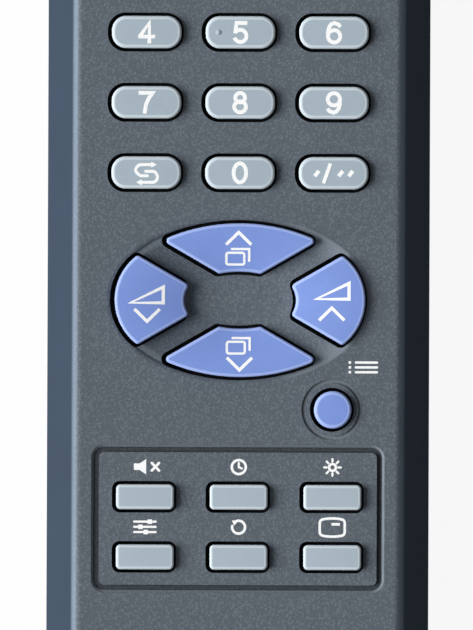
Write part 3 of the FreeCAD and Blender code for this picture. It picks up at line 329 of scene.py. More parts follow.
def show(name: str, mesh: bpy.types.Mesh, material: bpy.types.Material | None = None,
         smooth: bool = False) -> bpy.types.Object:
    """Put a mesh in the scene as a piece at the origin."""
    if material:
        mesh.materials.append(material)
    mesh.name = name
    piece = bpy.data.objects.new(name, mesh)
    bpy.context.scene.collection.objects.link(piece)
    if smooth:
        mesh.shade_smooth()
        mesh.set_sharp_from_angle(angle=math.radians(35))
    return piece


# Finishes

@dataclass(frozen=True)
class MouldedPlastic:
    """Case plastic: sparked and painted grey on the face, smooth, darker and bluer on the steep sides."""

    name: str = "case_plastic"
    colour: Colour = srgb(94, 102, 111)
    shadow: Colour = srgb(70, 78, 87)
    glint: Colour = srgb(124, 133, 141)
    side: Colour = srgb(58, 72, 90)
    side_shade: Colour = srgb(53, 66, 83)
    # Pale blue painted highlight for the rounded ridge along the face's long edges.
    painted_ridge_highlight: Colour = srgb(146, 166, 188)
    # Near black for the painted shade in grooves and holes, and for the dark parting seam.
    groove_shade_and_seam: Colour = srgb(8, 10, 13)
    seam_z: float = 11.5 * MM
    grain: float = 0.2 * MM
    grain_depth: float = 0.02 * MM
    spot: float = 0.4 * MM
    cloud: float = 9 * MM
    paint_low: float = 20.4 * MM
    paint_high: float = 21.45 * MM
    ridge_x: float = 19.4 * MM
    dish_half: Point = (16.9 * MM, 10.7 * MM)
    dish_y: float = -9 * MM
    dish_floor: float = 20.4 * MM
    dish_shade: float = 1.8 * MM

    def material(self) -> bpy.types.Material:
        """Build the material."""
        shader = Shader(self.name)
        x, y, z = shader.axes()
        across, along = x / self.dish_half[0], (y - self.dish_y) / self.dish_half[1]
        reach = across * across + along * along
        sunk = (1 - reach.steps(1, 1.03)) * z.steps(self.dish_floor, self.dish_floor + 0.2 * MM)
        paint = shader.maths("MAXIMUM", z.steps(self.paint_low, self.paint_high), sunk)
        outer = x.size().steps(self.ridge_x, self.ridge_x + 0.3 * MM)
        flat = shader.maths("MAXIMUM", z.steps(21.7 * MM, 21.96 * MM), shader.maths("MAXIMUM", sunk, paint * (1 - outer)))
        back = 1 - z.steps(2 * MM, 6 * MM)
        seam = 1 - (z - self.seam_z).size().steps(0.04 * MM, 0.11 * MM)
        grain = shader.noise(self.grain, 1)
        spots = 1 - shader.cells(self.spot).steps(0.12, 0.6)
        cloud = shader.noise(self.cloud, 2)
        dark = shader.blend((1 - grain.steps(0.32, 0.62)) * 0.6, self.colour, self.shadow)
        pale = shader.blend(spots * 0.42, dark, self.glint)
        # Painted highlight along the rounded ridge at both long edges of the face.
        pale = shader.blend(outer * (1 - z.steps(21.7 * MM, 21.97 * MM)) * 0.45, pale, self.painted_ridge_highlight)
        # Painted shade: the bottoms of grooves and holes in the face are darkened almost to black.
        painted_recess_shade = (1 - z.steps(21.6 * MM, 21.72 * MM)) * (1 - outer) * (1 - sunk)
        # Painted light: the walls of grooves and holes just under the face are made paler, standing for lit slopes.
        painted_wall_light = z.steps(21.62 * MM, 21.7 * MM) * (1 - z.steps(21.95 * MM, 21.99 * MM)) * (1 - outer)
        # Painted light: the dish's right-hand slopes towards its rim are made paler, where they face the lamp.
        worn = reach.steps(0.55, 0.95) * sunk * x.steps(4 * MM, 9 * MM)
        pale = shader.blend(shader.maths("MAXIMUM", painted_wall_light * 0.65, worn * 0.75), pale, self.glint)
        # Painted shade in the grooves and holes.
        pale = shader.blend(painted_recess_shade * 0.65, pale, self.groove_shade_and_seam)
        side = shader.blend(cloud, self.side, self.side_shade)
        tone = shader.blend(paint, side, shader.blend((cloud - 0.5).size() * 0.4, pale, self.shadow))
        bowl = (shader.maths("MINIMUM", reach, 1) - 1) * sunk * (self.dish_shade / self.grain_depth)
        tone = shader.blend(seam * 0.8, tone, self.groove_shade_and_seam)
        sparked = shader.maths("MAXIMUM", flat, back * 0.8)
        normal = shader.bump((grain + spots * 0.6) * (sparked * 0.9 + 0.1) + bowl, self.grain_depth)
        roughness = 0.46 + grain * 0.08 + sparked * 0.14 - cloud * 0.05
        return shader.surface(tone, roughness, normal, Specular_IOR_Level=0.2)


@dataclass(frozen=True)
class KeyPaint:
    """Soft-touch paint on silicone keys: fine speckle, a paler rim (worn paint and painted highlight), and a near-black
    wall under it (bare silicone and painted shade).

    The mesh says where: its edge attribute is 0 on the top, 1 on the rim and 2 on the bare wall.
    """

    name: str
    colour: Colour
    worn: Colour
    # Paler rim: partly worn paint, partly a painted highlight.
    rim: Colour
    roughness: float = 0.5
    # Near-black wall: bare silicone darkened as painted shade for the gaps round the keys.
    bare: Colour = srgb(16, 18, 22)
    speckle: float = 0.16 * MM
    cloud: float = 2.2 * MM

    def material(self) -> bpy.types.Material:
        """Build the material."""
        shader = Shader(self.name)
        speckle = shader.noise(self.speckle, 2)
        cloud = shader.noise(self.cloud, 2)
        worn = shader.blend(speckle.steps(0.42, 0.72) * 0.25 + cloud.steps(0.35, 0.8) * 0.25, self.colour, self.worn)
        edge = shader.attribute(EDGE)
        # Painted highlight on the rim, and painted shade on the wall below the paint.
        tone = shader.blend(edge.steps(1, 2), shader.blend(edge.steps(0, 1) * 0.75, worn, self.rim), self.bare)
        normal = shader.bump(speckle, 0.004 * MM)
        return shader.surface(tone, self.roughness + cloud * 0.1, normal, Specular_IOR_Level=0.25)


@dataclass(frozen=True)
class Ink:
    """Pad-printed white ink, a little thin in places."""

    name: str = "white_ink"
    colour: Colour = srgb(254, 255, 255)
    thin: Colour = srgb(236, 240, 244)

    def material(self) -> bpy.types.Material:
        """Build the material."""
        shader = Shader(self.name)
        patch = shader.noise(0.4 * MM, 3)
        tone = shader.blend(patch.steps(0.5, 0.85), self.colour, self.thin)
        return shader.surface(tone, 0.45 + patch * 0.2, shader.bump(patch, 0.003 * MM))


@dataclass(frozen=True)
class Metal:
    """Bare or plated metal with fine scratches and dull patches."""

    name: str
    colour: Colour
    dull: Colour
    roughness: float = 0.25
    scratch: float = 0.25 * MM

    def material(self) -> bpy.types.Material:
        """Build the material."""
        shader = Shader(self.name)
        scratch = shader.noise(self.scratch, 4, 0.7)
        patch = shader.noise(self.scratch * 9, 2)
        tone = shader.blend(patch.steps(0.35, 0.75), self.colour, self.dull)
        normal = shader.bump(scratch, 0.003 * MM)
        return shader.surface(tone, self.roughness + scratch * 0.15 + patch * 0.1, normal, Metallic=1.0)


@dataclass(frozen=True)
class Matt:
    """A plain dull stuff with grain, such as rubber, carbon or epoxy."""

    name: str
    colour: Colour
    fleck: Colour
    roughness: float = 0.6
    grain: float = 0.3 * MM
    depth: float = 0.008 * MM

    def material(self) -> bpy.types.Material:
        """Build the material."""
        shader = Shader(self.name)
        grain = shader.noise(self.grain, 3)
        cloud = shader.noise(self.grain * 12, 2)
        tone = shader.blend(grain.steps(0.45, 0.75) * 0.6 + cloud * 0.3, self.colour, self.fleck)
        return shader.surface(tone, self.roughness + grain * 0.15, shader.bump(grain, self.depth))


@dataclass(frozen=True)
class SmokedWindow:
    """Dark infrared filter plastic, polished, with faint moulding ripples."""

    name: str = "smoked_window"
    colour: Colour = srgb(13, 9, 12)
    tint: Colour = srgb(32, 10, 15)

    def material(self) -> bpy.types.Material:
        """Build the material."""
        shader = Shader(self.name)
        ripple = shader.noise(5 * MM, 2)
        tone = shader.blend(ripple.steps(0.3, 0.8), self.colour, self.tint)
        return shader.surface(tone, 0.08 + ripple * 0.06, shader.bump(ripple, 0.01 * MM), Coat_Weight=0.4)


@dataclass(frozen=True)
class BoardLaminate:
    """Green solder mask over copper tracks, with the laminate's own weave at its edges."""

    name: str = "board_laminate"
    mask: Colour = srgb(22, 84, 48)
    track: Colour = srgb(46, 122, 68)
    pitch: float = 1.9 * MM
    track_width: float = 0.22

    def material(self) -> bpy.types.Material:
        """Build the material."""
        shader = Shader(self.name)
        x, y, _ = shader.axes()
        drift = shader.noise(7 * MM, 1)
        along = ((x + drift * 3 * MM) / self.pitch % 1 - 0.5).size()
        across = ((y + drift * 4 * MM) / (self.pitch * 2.4) % 1 - 0.5).size()
        tracks = 1 - along.steps(self.track_width - 0.05, self.track_width)
        joins = 1 - across.steps(0.08, 0.11)
        pick = shader.noise(5 * MM, 0).steps(0.49, 0.51)
        mask = tracks * pick + joins * (1 - pick)
        weave = shader.noise(0.4 * MM, 2)
        tone = shader.blend(mask, self.mask, self.track)
        return shader.surface(tone, 0.32 + weave * 0.1, shader.bump(mask + weave * 0.2, 0.02 * MM))


@dataclass(frozen=True)
class CellWrap:
    """A cell's printed sleeve: a dark body, a pale shoulder band, and bare metal ends."""

    name: str = "cell_wrap"
    body: Colour = srgb(34, 38, 46)
    band: Colour = srgb(196, 160, 74)
    steel: Colour = srgb(206, 207, 205)
    centre: float = 0.0
    length: float = 44.5 * MM
    cap_end: float = 1.0

    def material(self) -> bpy.types.Material:
        """Build the material; the band lies at the cap end of a cell along Y."""
        shader = Shader(self.name)
        along = (shader.axes()[1] - self.centre) * (self.cap_end / self.length) + 0.5
        shoulder = along.steps(0.742, 0.746)
        ends = (along - 0.49).size().steps(0.4815, 0.4825)
        scuff = shader.noise(1.2 * MM, 4, 0.7)
        sleeve = shader.blend(shoulder, self.body, self.band)
        worn = shader.blend(scuff.steps(0.6, 0.8) * 0.2, sleeve, self.steel)
        tone = shader.blend(ends, worn, self.steel)
        return shader.surface(tone, 0.24 + scuff * 0.14, shader.bump(scuff, 0.004 * MM), Metallic=0.6,
                              Coat_Weight=0.3)


class Palette:
    """Every finish of the object, built once."""

    def __init__(self) -> None:
        """Build the materials."""
        self.case = MouldedPlastic().material()
        # Rim colours: paler paint, partly worn and partly a painted highlight.
        self.grey = KeyPaint("key_grey", srgb(165, 180, 191), srgb(175, 189, 200), rim=srgb(212, 223, 230)).material()
        self.pale = KeyPaint("key_pale", srgb(169, 183, 194), srgb(178, 192, 203), rim=srgb(212, 223, 230)).material()
        self.blue = KeyPaint("key_blue", srgb(124, 150, 219), srgb(134, 160, 226), rim=srgb(174, 194, 248)).material()
        self.ink = Ink().material()
        self.window = SmokedWindow().material()
        self.silicone = Matt("silicone", srgb(196, 200, 202), srgb(214, 217, 218), 0.5).material()
        self.carbon = Matt("carbon", srgb(26, 26, 28), srgb(44, 44, 47), 0.75, 0.12 * MM).material()
        self.board = BoardLaminate().material()
        self.chip = Matt("chip_epoxy", srgb(24, 25, 27), srgb(38, 39, 42), 0.5, 0.1 * MM).material()
        self.tin = Metal("tin_plate", srgb(205, 207, 208), srgb(170, 172, 175), 0.3).material()
        self.contact = Metal("nickel_plate", srgb(214, 211, 202), srgb(186, 181, 168), 0.22).material()
        self.steel = Metal("screw_steel", srgb(180, 182, 186), srgb(120, 122, 126), 0.28).material()
        self.ceramic = Matt("resonator_ceramic", srgb(64, 104, 168), srgb(82, 122, 184), 0.35).material()
        self.sleeve = Matt("capacitor_sleeve", srgb(28, 30, 44), srgb(46, 50, 66), 0.35).material()
        self.epoxy = Matt("led_epoxy", srgb(120, 128, 156), srgb(150, 158, 182), 0.15, 1.5 * MM).material()


# Outlines of the keys, seen from above

class Outline(ABC):
    """A closed outline about its own origin, which can be grown or drawn in evenly."""

    @abstractmethod
    def points(self, grow: float) -> list[Vector]:
        """The outline's points, anticlockwise, as many for every grow.

        Args:
            grow: how far the outline stands outside its nominal line, in metres.
        """

    @abstractmethod
    def half_sizes(self) -> Point:
        """Half the width and half the depth."""

    def ring(self, grow: float) -> list[Vector]:
        """The same points with the long sides cut up, so that a domed top stays smooth along them.

        Args:
            grow: how far the outline stands outside its nominal line, in metres.

        Returns:
            The points, as many for every grow.
        """
        nominal, drawn = self.points(0), self.points(grow)
        found = []
        for k, point in enumerate(drawn):
            cuts = max(1, round((nominal[k] - nominal[k - 1]).length / (0.7 * MM)))
            found += [drawn[k - 1].lerp(point, step / cuts) for step in range(1, cuts + 1)]
        return found


@dataclass(frozen=True)
class Oblong(Outline):
    """A rectangle with round corners; with corners of half its depth it is a disc or a slot."""

    width: float
    depth: float
    corner: float
    steps: int = 14

    def points(self, grow: float) -> list[Vector]:
        """The four corner arcs, one after the other."""
        radius = self.corner + grow
        reach_x, reach_y = self.width / 2 - self.corner, self.depth / 2 - self.corner
        found = []
        for k, (side_x, side_y) in enumerate(((1, 1), (-1, 1), (-1, -1), (1, -1))):
            for step in range(self.steps + 1):
                angle = math.pi / 2 * (k + step / self.steps)
                x = side_x * reach_x + radius * math.cos(angle)
                y = side_y * reach_y + radius * math.sin(angle)
                found.append(Vector((x, y)))
        return found

    def half_sizes(self) -> Point:
        """Half the width and half the depth."""
        return self.width / 2, self.depth / 2


@dataclass(frozen=True)
class Disc(Outline):
    """A circle."""

    radius: float
    steps: int = 56

    def points(self, grow: float) -> list[Vector]:
        """Evenly spaced points."""
        radius = self.radius + grow
        turns = [math.tau * step / self.steps for step in range(self.steps)]
        return [Vector((radius * math.cos(turn), radius * math.sin(turn))) for turn in turns]

    def half_sizes(self) -> Point:
        """The radius, twice."""
        return self.radius, self.radius


@dataclass(frozen=True)
class Sector(Outline):
    """A key of the direction pad about +Y: outer arc, two straight sides and a hollow inner arc."""

    reach: float
    outer: float
    edge: float
    angle: float
    start: float
    hollow: float
    corner: float = 0.5 * MM
    steps: int = 30

    def core(self) -> tuple[Vector, Vector, float, float]:
        """The right-hand corners of the outline drawn in by its corner radius, and the arcs' middles."""
        rise, run = math.sin(self.angle), math.cos(self.angle)
        edge, start = self.edge + self.corner, self.start + self.corner
        base = self.reach - self.outer
        foot = Vector((-rise * edge, run * edge))
        along = Vector((run, rise))
        b = foot.dot(along) - base * rise
        c = foot.x ** 2 + (foot.y - base) ** 2 - (self.outer - self.corner) ** 2
        top = foot + along * (math.sqrt(b * b - c) - b)
        low = foot + along * ((start - foot.y) / rise)
        sink = low.y - math.sqrt((self.hollow + self.corner) ** 2 - low.x ** 2)
        return top, low, base, sink

    def points(self, grow: float) -> list[Vector]:
        """Corner arcs about the core's corners, with the long arcs between them."""
        top, low, base, sink = self.core()
        radius = self.corner + grow
        outward = self.angle - math.pi / 2
        top_turn = math.atan2(top.y - base, top.x)
        low_turn = math.atan2(low.y - sink, low.x) - math.pi
        right = arc_points(low, radius, low_turn, outward, self.steps // 4)
        right += arc_points(top, radius, outward, top_turn, self.steps // 4)
        span = self.outer - self.corner + radius
        over = arc_points(Vector((0, base)), span, top_turn, math.pi - top_turn, self.steps)[1:-1]
        left = [Vector((-point.x, point.y)) for point in reversed(right)]
        bend = low_turn + math.pi
        dip = arc_points(Vector((0, sink)), self.hollow + self.corner - radius, math.pi - bend, bend, self.steps // 2)
        return right + over + left + dip[1:-1]

    def half_sizes(self) -> Point:
        """Half the key's width and the distance from the pad's centre to its rim."""
        return max(point.x for point in self.points(0)), self.reach


def arc_points(middle: Vector, radius: float, first: float, last: float, steps: int) -> list[Vector]:
    """Points along an arc, both ends included."""
    turns = [first + (last - first) * step / steps for step in range(steps + 1)]
    return [middle + Vector((math.cos(turn), math.sin(turn))) * radius for turn in turns]


@dataclass(frozen=True)
class Crown:
    """The gently domed top of a key, which may sink like a bowl towards the outline's origin."""

    top: float
    drop_x: float
    drop_y: float
    half_x: float
    half_y: float
    middle_y: float = 0.0
    sink: float = 0.0
    sink_x: float = 1.0
    sink_y: float = 1.0

    def height(self, x: float, y: float) -> float:
        """Height of the dome over a point of the outline's plane."""
        share_x, share_y = x / self.half_x, (y - self.middle_y) / self.half_y
        sunk = self.sink * max(0.0, 1 - math.hypot(x / self.sink_x, y / self.sink_y)) ** 2
        return self.top - self.drop_x * share_x ** 2 - self.drop_y * share_y ** 2 - sunk


def filled(build: bmesh.types.BMesh, ring: Sequence[bmesh.types.BMVert], spacing: float,
           height: Callable[[float, float], float]) -> None:
    """Close a ring with triangles over a grid of inner points.

    Args:
        build: the mesh that holds the ring.
        ring: the ring's vertices, anticlockwise.
        spacing: distance between the inner points.
        height: gives an inner point's z.
    """
    loop = [vertex.co.to_2d() for vertex in ring]
    low = Vector((min(point.x for point in loop), min(point.y for point in loop)))
    high = Vector((max(point.x for point in loop), max(point.y for point in loop)))
    inner = []
    for column in range(1, int((high.x - low.x) / spacing) + 1):
        for row in range(1, int((high.y - low.y) / spacing) + 1):
            point = low + Vector((column - (row % 2) / 2, row)) * spacing
            if inside(point, loop) and min((point - other).length for other in loop) > spacing / 2:
                inner.append(point)
    count = len(loop)
    edges = [(k, (k + 1) % count) for k in range(count)]
    spots, _, faces, origins, _, _ = delaunay_2d_cdt(loop + inner, edges, [list(range(count))], 1, 1e-9)
    made = {}
    for index, (spot, origin) in enumerate(zip(spots, origins)):
        if origin and origin[0] < count:
            made[index] = ring[origin[0]]
        else:
            made[index] = build.verts.new((spot.x, spot.y, height(spot.x, spot.y)))
    for corners in faces:
        build.faces.new([made[corner] for corner in corners])


def inside(point: Vector, loop: Sequence[Vector]) -> bool:
    """Whether a point lies inside a closed loop."""
    hits = False
    for k, corner in enumerate(loop):
        other = loop[k - 1]
        if (corner.y > point.y) != (other.y > point.y):
            hits ^= point.x < (other.x - corner.x) * (point.y - corner.y) / (other.y - corner.y) + corner.x
    return hits


# Keys

@dataclass(frozen=True)
class KeySizes:
    """Sizes that all keys share, from the foot on the mat to the rounded rim."""

    skirt: float = 0.7 * MM
    foot: float = 18.0 * MM
    shoulder: float = 19.05 * MM
    skirt_top: float = 19.6 * MM
    rim_steps: int = 6
    pill_radius: float = 1.2 * MM
    pill_height: float = 0.45 * MM
    band: float = 0.15 * MM
    painted: float = 0.85 * MM
    nub_radius: float = 0.33 * MM
    nub_height: float = 0.16 * MM


@dataclass
class Key:
    """One silicone key: its CAD node, outline, dome, finish and place."""

    node: str
    outline: Outline
    crown: Crown
    rim: float
    material: bpy.types.Material
    slot: str
    centre: Vector
    turn: float = 0.0
    pill: float = 0.0
    nub: float = 0.0
    neck: float = 0.21 * MM
    sizes: KeySizes = field(default_factory=KeySizes)

    def place(self) -> Matrix:
        """From the outline's own frame to the object's."""
        return Matrix.Translation(self.centre.to_3d()) @ Matrix.Rotation(self.turn, 4, "Z")

    def section(self) -> list[tuple[float, Callable[[Vector], float], float]]:
        """The wall from the foot to the dome's rim, as growths, heights and edge values."""
        sizes, rim = self.sizes, self.rim

        def level(height: float) -> Callable[[Vector], float]:
            """A constant height."""
            return lambda point: height

        def below(drop: float) -> Callable[[Vector], float]:
            """A height under the dome."""
            return lambda point: self.crown.height(point.x, point.y) - drop

        bevel = 0.15 * MM
        rows = [(self.neck, level(sizes.foot), 2.0), (self.neck, level(sizes.shoulder), 2.0),
                (sizes.skirt, level(sizes.shoulder), 2.0), (sizes.skirt, level(sizes.skirt_top - bevel), 2.0),
                (sizes.skirt - bevel, level(sizes.skirt_top), 2.0), (0.0, level(sizes.skirt_top), 2.0),
                (0.0, below(sizes.painted + 0.1 * MM), 2.0), (0.0, below(sizes.painted), 1.0)]
        for step in range(sizes.rim_steps + 1):
            angle = math.pi / 2 * step / sizes.rim_steps
            rows.append((-rim * (1 - math.cos(angle)), below(rim * (1 - math.sin(angle))), 1.0))
        rows.append((-rim - sizes.band, below(0.0), 0.0))
        return rows

    def build(self, carbon: bpy.types.Material) -> bpy.types.Object:
        """Make the key with its pill, and let it stand for its CAD node.

        Args:
            carbon: the pill's material.

        Returns:
            The key.
        """
        build = bmesh.new()
        edge = build.verts.layers.float.new(EDGE)
        rings = []
        for grow, height, share in self.section():
            spots = self.outline.ring(grow)
            rings.append([build.verts.new((spot.x, spot.y, height(spot))) for spot in spots])
            for vertex in rings[-1]:
                vertex[edge] = share
        for lower, upper in zip(rings, rings[1:]):
            for k in range(len(lower)):
                build.faces.new((lower[k - 1], lower[k], upper[k], upper[k - 1]))
        filled(build, rings[-1], 0.45 * MM, self.crown.height)
        filled(build, rings[0], 2 * MM, lambda x, y: self.sizes.foot)
        self.add_pill(build)
        if self.nub:
            self.add_nub(build)
        bmesh.ops.recalc_face_normals(build, faces=build.faces)
        build.transform(self.place())
        mesh = bpy.data.meshes.new(self.node)
        build.to_mesh(mesh)
        build.free()
        mesh.materials.append(self.material)
        mesh.materials.append(carbon)
        piece = show(f"silicone_{self.node}", mesh, smooth=True)
        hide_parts(self.node)
        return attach(piece, self.node)

    def add_pill(self, build: bmesh.types.BMesh) -> None:
        """A disc of carbon under the foot, with its own material."""
        sizes = self.sizes
        place = Matrix.Translation((0, self.pill, sizes.foot - sizes.pill_height / 2))
        made = bmesh.ops.create_cone(build, cap_ends=True, segments=32, radius1=sizes.pill_radius,
                                     radius2=sizes.pill_radius, depth=sizes.pill_height, matrix=place)
        for face in {face for vertex in made["verts"] for face in vertex.link_faces}:
            face.material_index = 1

    def add_nub(self, build: bmesh.types.BMesh) -> None:
        """The small dome that fingers find the middle key by."""
        radius = self.sizes.nub_radius
        place = Matrix.Translation((-self.nub, 0, self.crown.height(-self.nub, 0)))
        shape = Matrix.Diagonal((radius, radius, self.sizes.nub_height, 1))
        bmesh.ops.create_icosphere(build, subdivisions=3, radius=1, matrix=place @ shape)

    def local(self, point: Vector) -> Vector:
        """A point of the object's plane in the outline's own frame."""
        return (self.place().inverted() @ point.to_3d()).to_2d()

    def surface(self, x: float, y: float) -> float:
        """Height of the key's top over a point of the object's plane."""
        spot = self.local(Vector((x, y)))
        return self.crown.height(spot.x, spot.y)


def middle_of(node: str) -> Vector:
    """The middle of a CAD node's box in plan."""
    low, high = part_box(node)
    return ((low + high) / 2).to_2d()


class Keypad:
    """All the keys, sized from the frame's own boxes."""

    number_corner: float = 1.85 * MM
    function_corner: float = 0.6 * MM
    play: float = 0.12 * MM
    pad_play: float = 0.2 * MM
    pad_neck: float = 0.13 * MM

    def __init__(self, palette: Palette) -> None:
        """Work out every key from its CAD node."""
        self.palette = palette
        self.sizes = KeySizes()
        numbers = [f"key_{name}" for name in (*range(10), "recall", "digits")]
        functions = [f"key_{name}" for name in ("mute", "timer", "picture", "system", "normal", "display")]
        self.keys: dict[str, Key] = {}
        for name in numbers:
            self.add_oblong(name, self.number_corner, 0.36 * MM, palette.grey, "key_grey")
        for name in functions:
            self.add_oblong(name, self.function_corner, 0.3 * MM, palette.pale, "key_pale")
        self.keys["key_5"].nub = 2.8 * MM
        self.add_round("key_power", palette.grey, "key_grey")
        self.add_round("key_source", palette.grey, "key_grey")
        self.add_round("key_menu", palette.blue, "key_blue")
        self.add_pad()

    def plan(self, node: str) -> tuple[float, float, float]:
        """Width and depth of a key's stem, and the height of its top."""
        low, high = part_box(node)
        size = high - low
        return size.x - 2 * self.sizes.skirt, size.y - 2 * self.sizes.skirt, self.top

    @property
    def top(self) -> float:
        """The height that all the keys reach."""
        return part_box("key_menu")[1].z

    def add_oblong(self, node: str, corner: float, rim: float, material: bpy.types.Material, slot: str) -> None:
        """A number or function key."""
        width, depth, top = self.plan(node)
        crown = Crown(top, 0.04 * MM, 0.05 * MM, width / 2, depth / 2)
        outline = Oblong(width, depth, corner)
        place = middle_of(node) + Vector((self.play, 0))
        self.keys[node] = Key(node, outline, crown, rim, material, slot, place)

    def add_round(self, node: str, material: bpy.types.Material, slot: str) -> None:
        """A round key."""
        width, _, top = self.plan(node)
        crown = Crown(top, 0.05 * MM, 0.05 * MM, width / 2, width / 2)
        place = middle_of(node) + Vector((self.play, 0))
        self.keys[node] = Key(node, Disc(width / 2), crown, 0.36 * MM, material, slot, place)

    def add_pad(self) -> None:
        """The four sectors of the direction pad."""
        up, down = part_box("key_channel_up"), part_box("key_channel_down")
        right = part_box("key_volume_up")
        centre = Vector((0, (up[1].y + down[0].y) / 2))
        side_reach = up[1].y - centre.y - self.sizes.skirt
        end_reach = right[1].x - centre.x - self.sizes.skirt
        lean, edge = math.radians(30), 1.59 * MM
        side = Sector(side_reach, 23.9 * MM, edge, lean, 3.4 * MM, 13 * MM)
        end = Sector(end_reach, 7.1 * MM, edge, math.pi / 2 - lean, 6.7 * MM, 3 * MM)
        for node, outline, turn, across in (
                ("key_channel_up", side, 0.0, end_reach), ("key_channel_down", side, math.pi, end_reach),
                ("key_volume_down", end, math.pi / 2, side_reach), ("key_volume_up", end, -math.pi / 2, side_reach)):
            half_x, reach = outline.half_sizes()
            middle = (outline.start + reach) / 2
            crown = Crown(self.top, 0.04 * MM, 0.02 * MM, half_x, reach - middle, middle, 2.6 * MM, across, reach)
            place = centre + Vector((self.pad_play, 0))
            self.keys[node] = Key(node, outline, crown, 0.3 * MM, self.palette.blue, "key_blue", place, turn, middle,
                                  neck=self.pad_neck)

    def build(self) -> None:
        """Make every key."""
        for key in self.keys.values():
            piece = key.build(self.palette.carbon)
            log.info("%s stands for %s", piece.name, key.node)


# Legends

@dataclass(frozen=True)
class Stroke:
    """A pen line: its points, its width, and whether it closes on itself. Widths may change from point to point."""

    points: tuple[Point, ...]
    width: float = 0.34
    closed: bool = False
    widths: tuple[float, ...] = ()

    def sections(self) -> list[tuple[Vector, Vector]]:
        """Left and right edge points all along the line, with round ends on an open one, in millimetres."""
        spots = [Vector(point) for point in self.points]
        halves = [width / 2 for width in self.widths] or [self.width / 2] * len(spots)
        found = []
        count = len(spots)
        for k, spot in enumerate(spots):
            before = spots[k - 1] if k or self.closed else spot * 2 - spots[1]
            after = spots[(k + 1) % count] if k < count - 1 or self.closed else spot * 2 - spots[k - 1]
            first, second = (spot - before).normalized(), (after - spot).normalized()
            across = (first + second).orthogonal().normalized()
            reach = halves[k] / max(0.5, across.dot(first.orthogonal()))
            found.append((spot + across * reach, spot - across * reach))
        if self.closed:
            return found + found[:1]
        if self.widths:
            return found
        return [*self.cap(spots[0], spots[0] - spots[1])[::-1], *found[1:-1], *self.cap(spots[-1], spots[-1] - spots[-2], 1)]

    def cap(self, spot: Vector, ahead: Vector, side: int = -1) -> list[tuple[Vector, Vector]]:
        """Cross-sections of a round end."""
        ahead = ahead.normalized()
        across = ahead.orthogonal() * side
        found = []
        for step in range(6):
            turn = math.pi / 2 * step / 5.4
            middle = spot + ahead * (self.width / 2 * math.sin(turn))
            reach = across * (self.width / 2 * math.cos(turn))
            found.append((middle + reach, middle - reach))
        return found


def line(*points: Point, width: float = 0.34) -> Stroke:
    """A straight or bent line."""
    return Stroke(points, width)


def bar(*points: Point, width: float = 0.5) -> Stroke:
    """A straight or bent line that is cut square at its ends."""
    return Stroke(points, widths=(width,) * len(points))


def loop(*points: Point, width: float = 0.34) -> Stroke:
    """A closed line."""
    return Stroke(points, width, closed=True)


def arc(x: float, y: float, radius: float, first: float, last: float, width: float = 0.34) -> Stroke:
    """An arc between two angles in degrees."""
    steps = max(6, int(abs(last - first) / 12))
    spots = arc_points(Vector((x, y)), radius, math.radians(first), math.radians(last), steps)
    return Stroke(tuple((spot.x, spot.y) for spot in spots), width)


def ring(x: float, y: float, radius: float, width: float = 0.34) -> Stroke:
    """A circle."""
    spots = arc_points(Vector((x, y)), radius, 0, math.tau, 32)[:-1]
    return Stroke(tuple((spot.x, spot.y) for spot in spots), width, closed=True)


def frame_line(x: float, y: float, width: float, height: float, corner: float, pen: float = 0.34,
               bow: float = 0.0) -> Stroke:
    """A rectangle with round corners, whose long sides may bow outwards."""
    spots = Oblong(width, height, corner, 5).points(0)
    bent = []
    for spot in spots:
        rise = bow * math.copysign(1 - (2 * spot.x / width) ** 2, spot.y)
        bent.append((x + spot.x, y + spot.y + rise))
    across = width / 2 - corner
    top = [(x + across * share, y + height / 2 + bow * (1 - (2 * across * share / width) ** 2))
           for share in (0.66, 0.33, 0, -0.33, -0.66)]
    under = [(x - across * share, y - height / 2 - bow * (1 - (2 * across * share / width) ** 2))
             for share in (0.66, 0.33, 0, -0.33, -0.66)]
    return Stroke(tuple(bent[:6] + top + bent[6:18] + under + bent[18:]), pen, closed=True)


def head(tip: Point, back: Point, spread: float) -> Stroke:
    """A solid arrowhead from the middle of its back to its tip."""
    return Stroke((back, tip), widths=(spread, 0.04))


def dot(x: float, y: float, size: float, lean: float = 0.0) -> Stroke:
    """A square dot, leaning to the right by a share of its height."""
    low, high = (x - lean * size / 2, y - size / 2), (x + lean * size / 2, y + size / 2)
    return Stroke((low, high), widths=(size, size))


def curl(*parts: Stroke | Point, width: float = 0.5) -> Stroke:
    """One line that runs through points and arcs and is cut square at its ends."""
    points: list[Point] = []
    for part in parts:
        points += part.points if isinstance(part, Stroke) else [part]
    return bar(*points, width=width)


def oval(radius_x: float, radius_y: float, y: float = 0.0, width: float = 0.5) -> Stroke:
    """A closed oval."""
    turns = [math.tau * k / 36 for k in range(36)]
    return Stroke(tuple((radius_x * math.cos(turn), y + radius_y * math.sin(turn)) for turn in turns), width, closed=True)


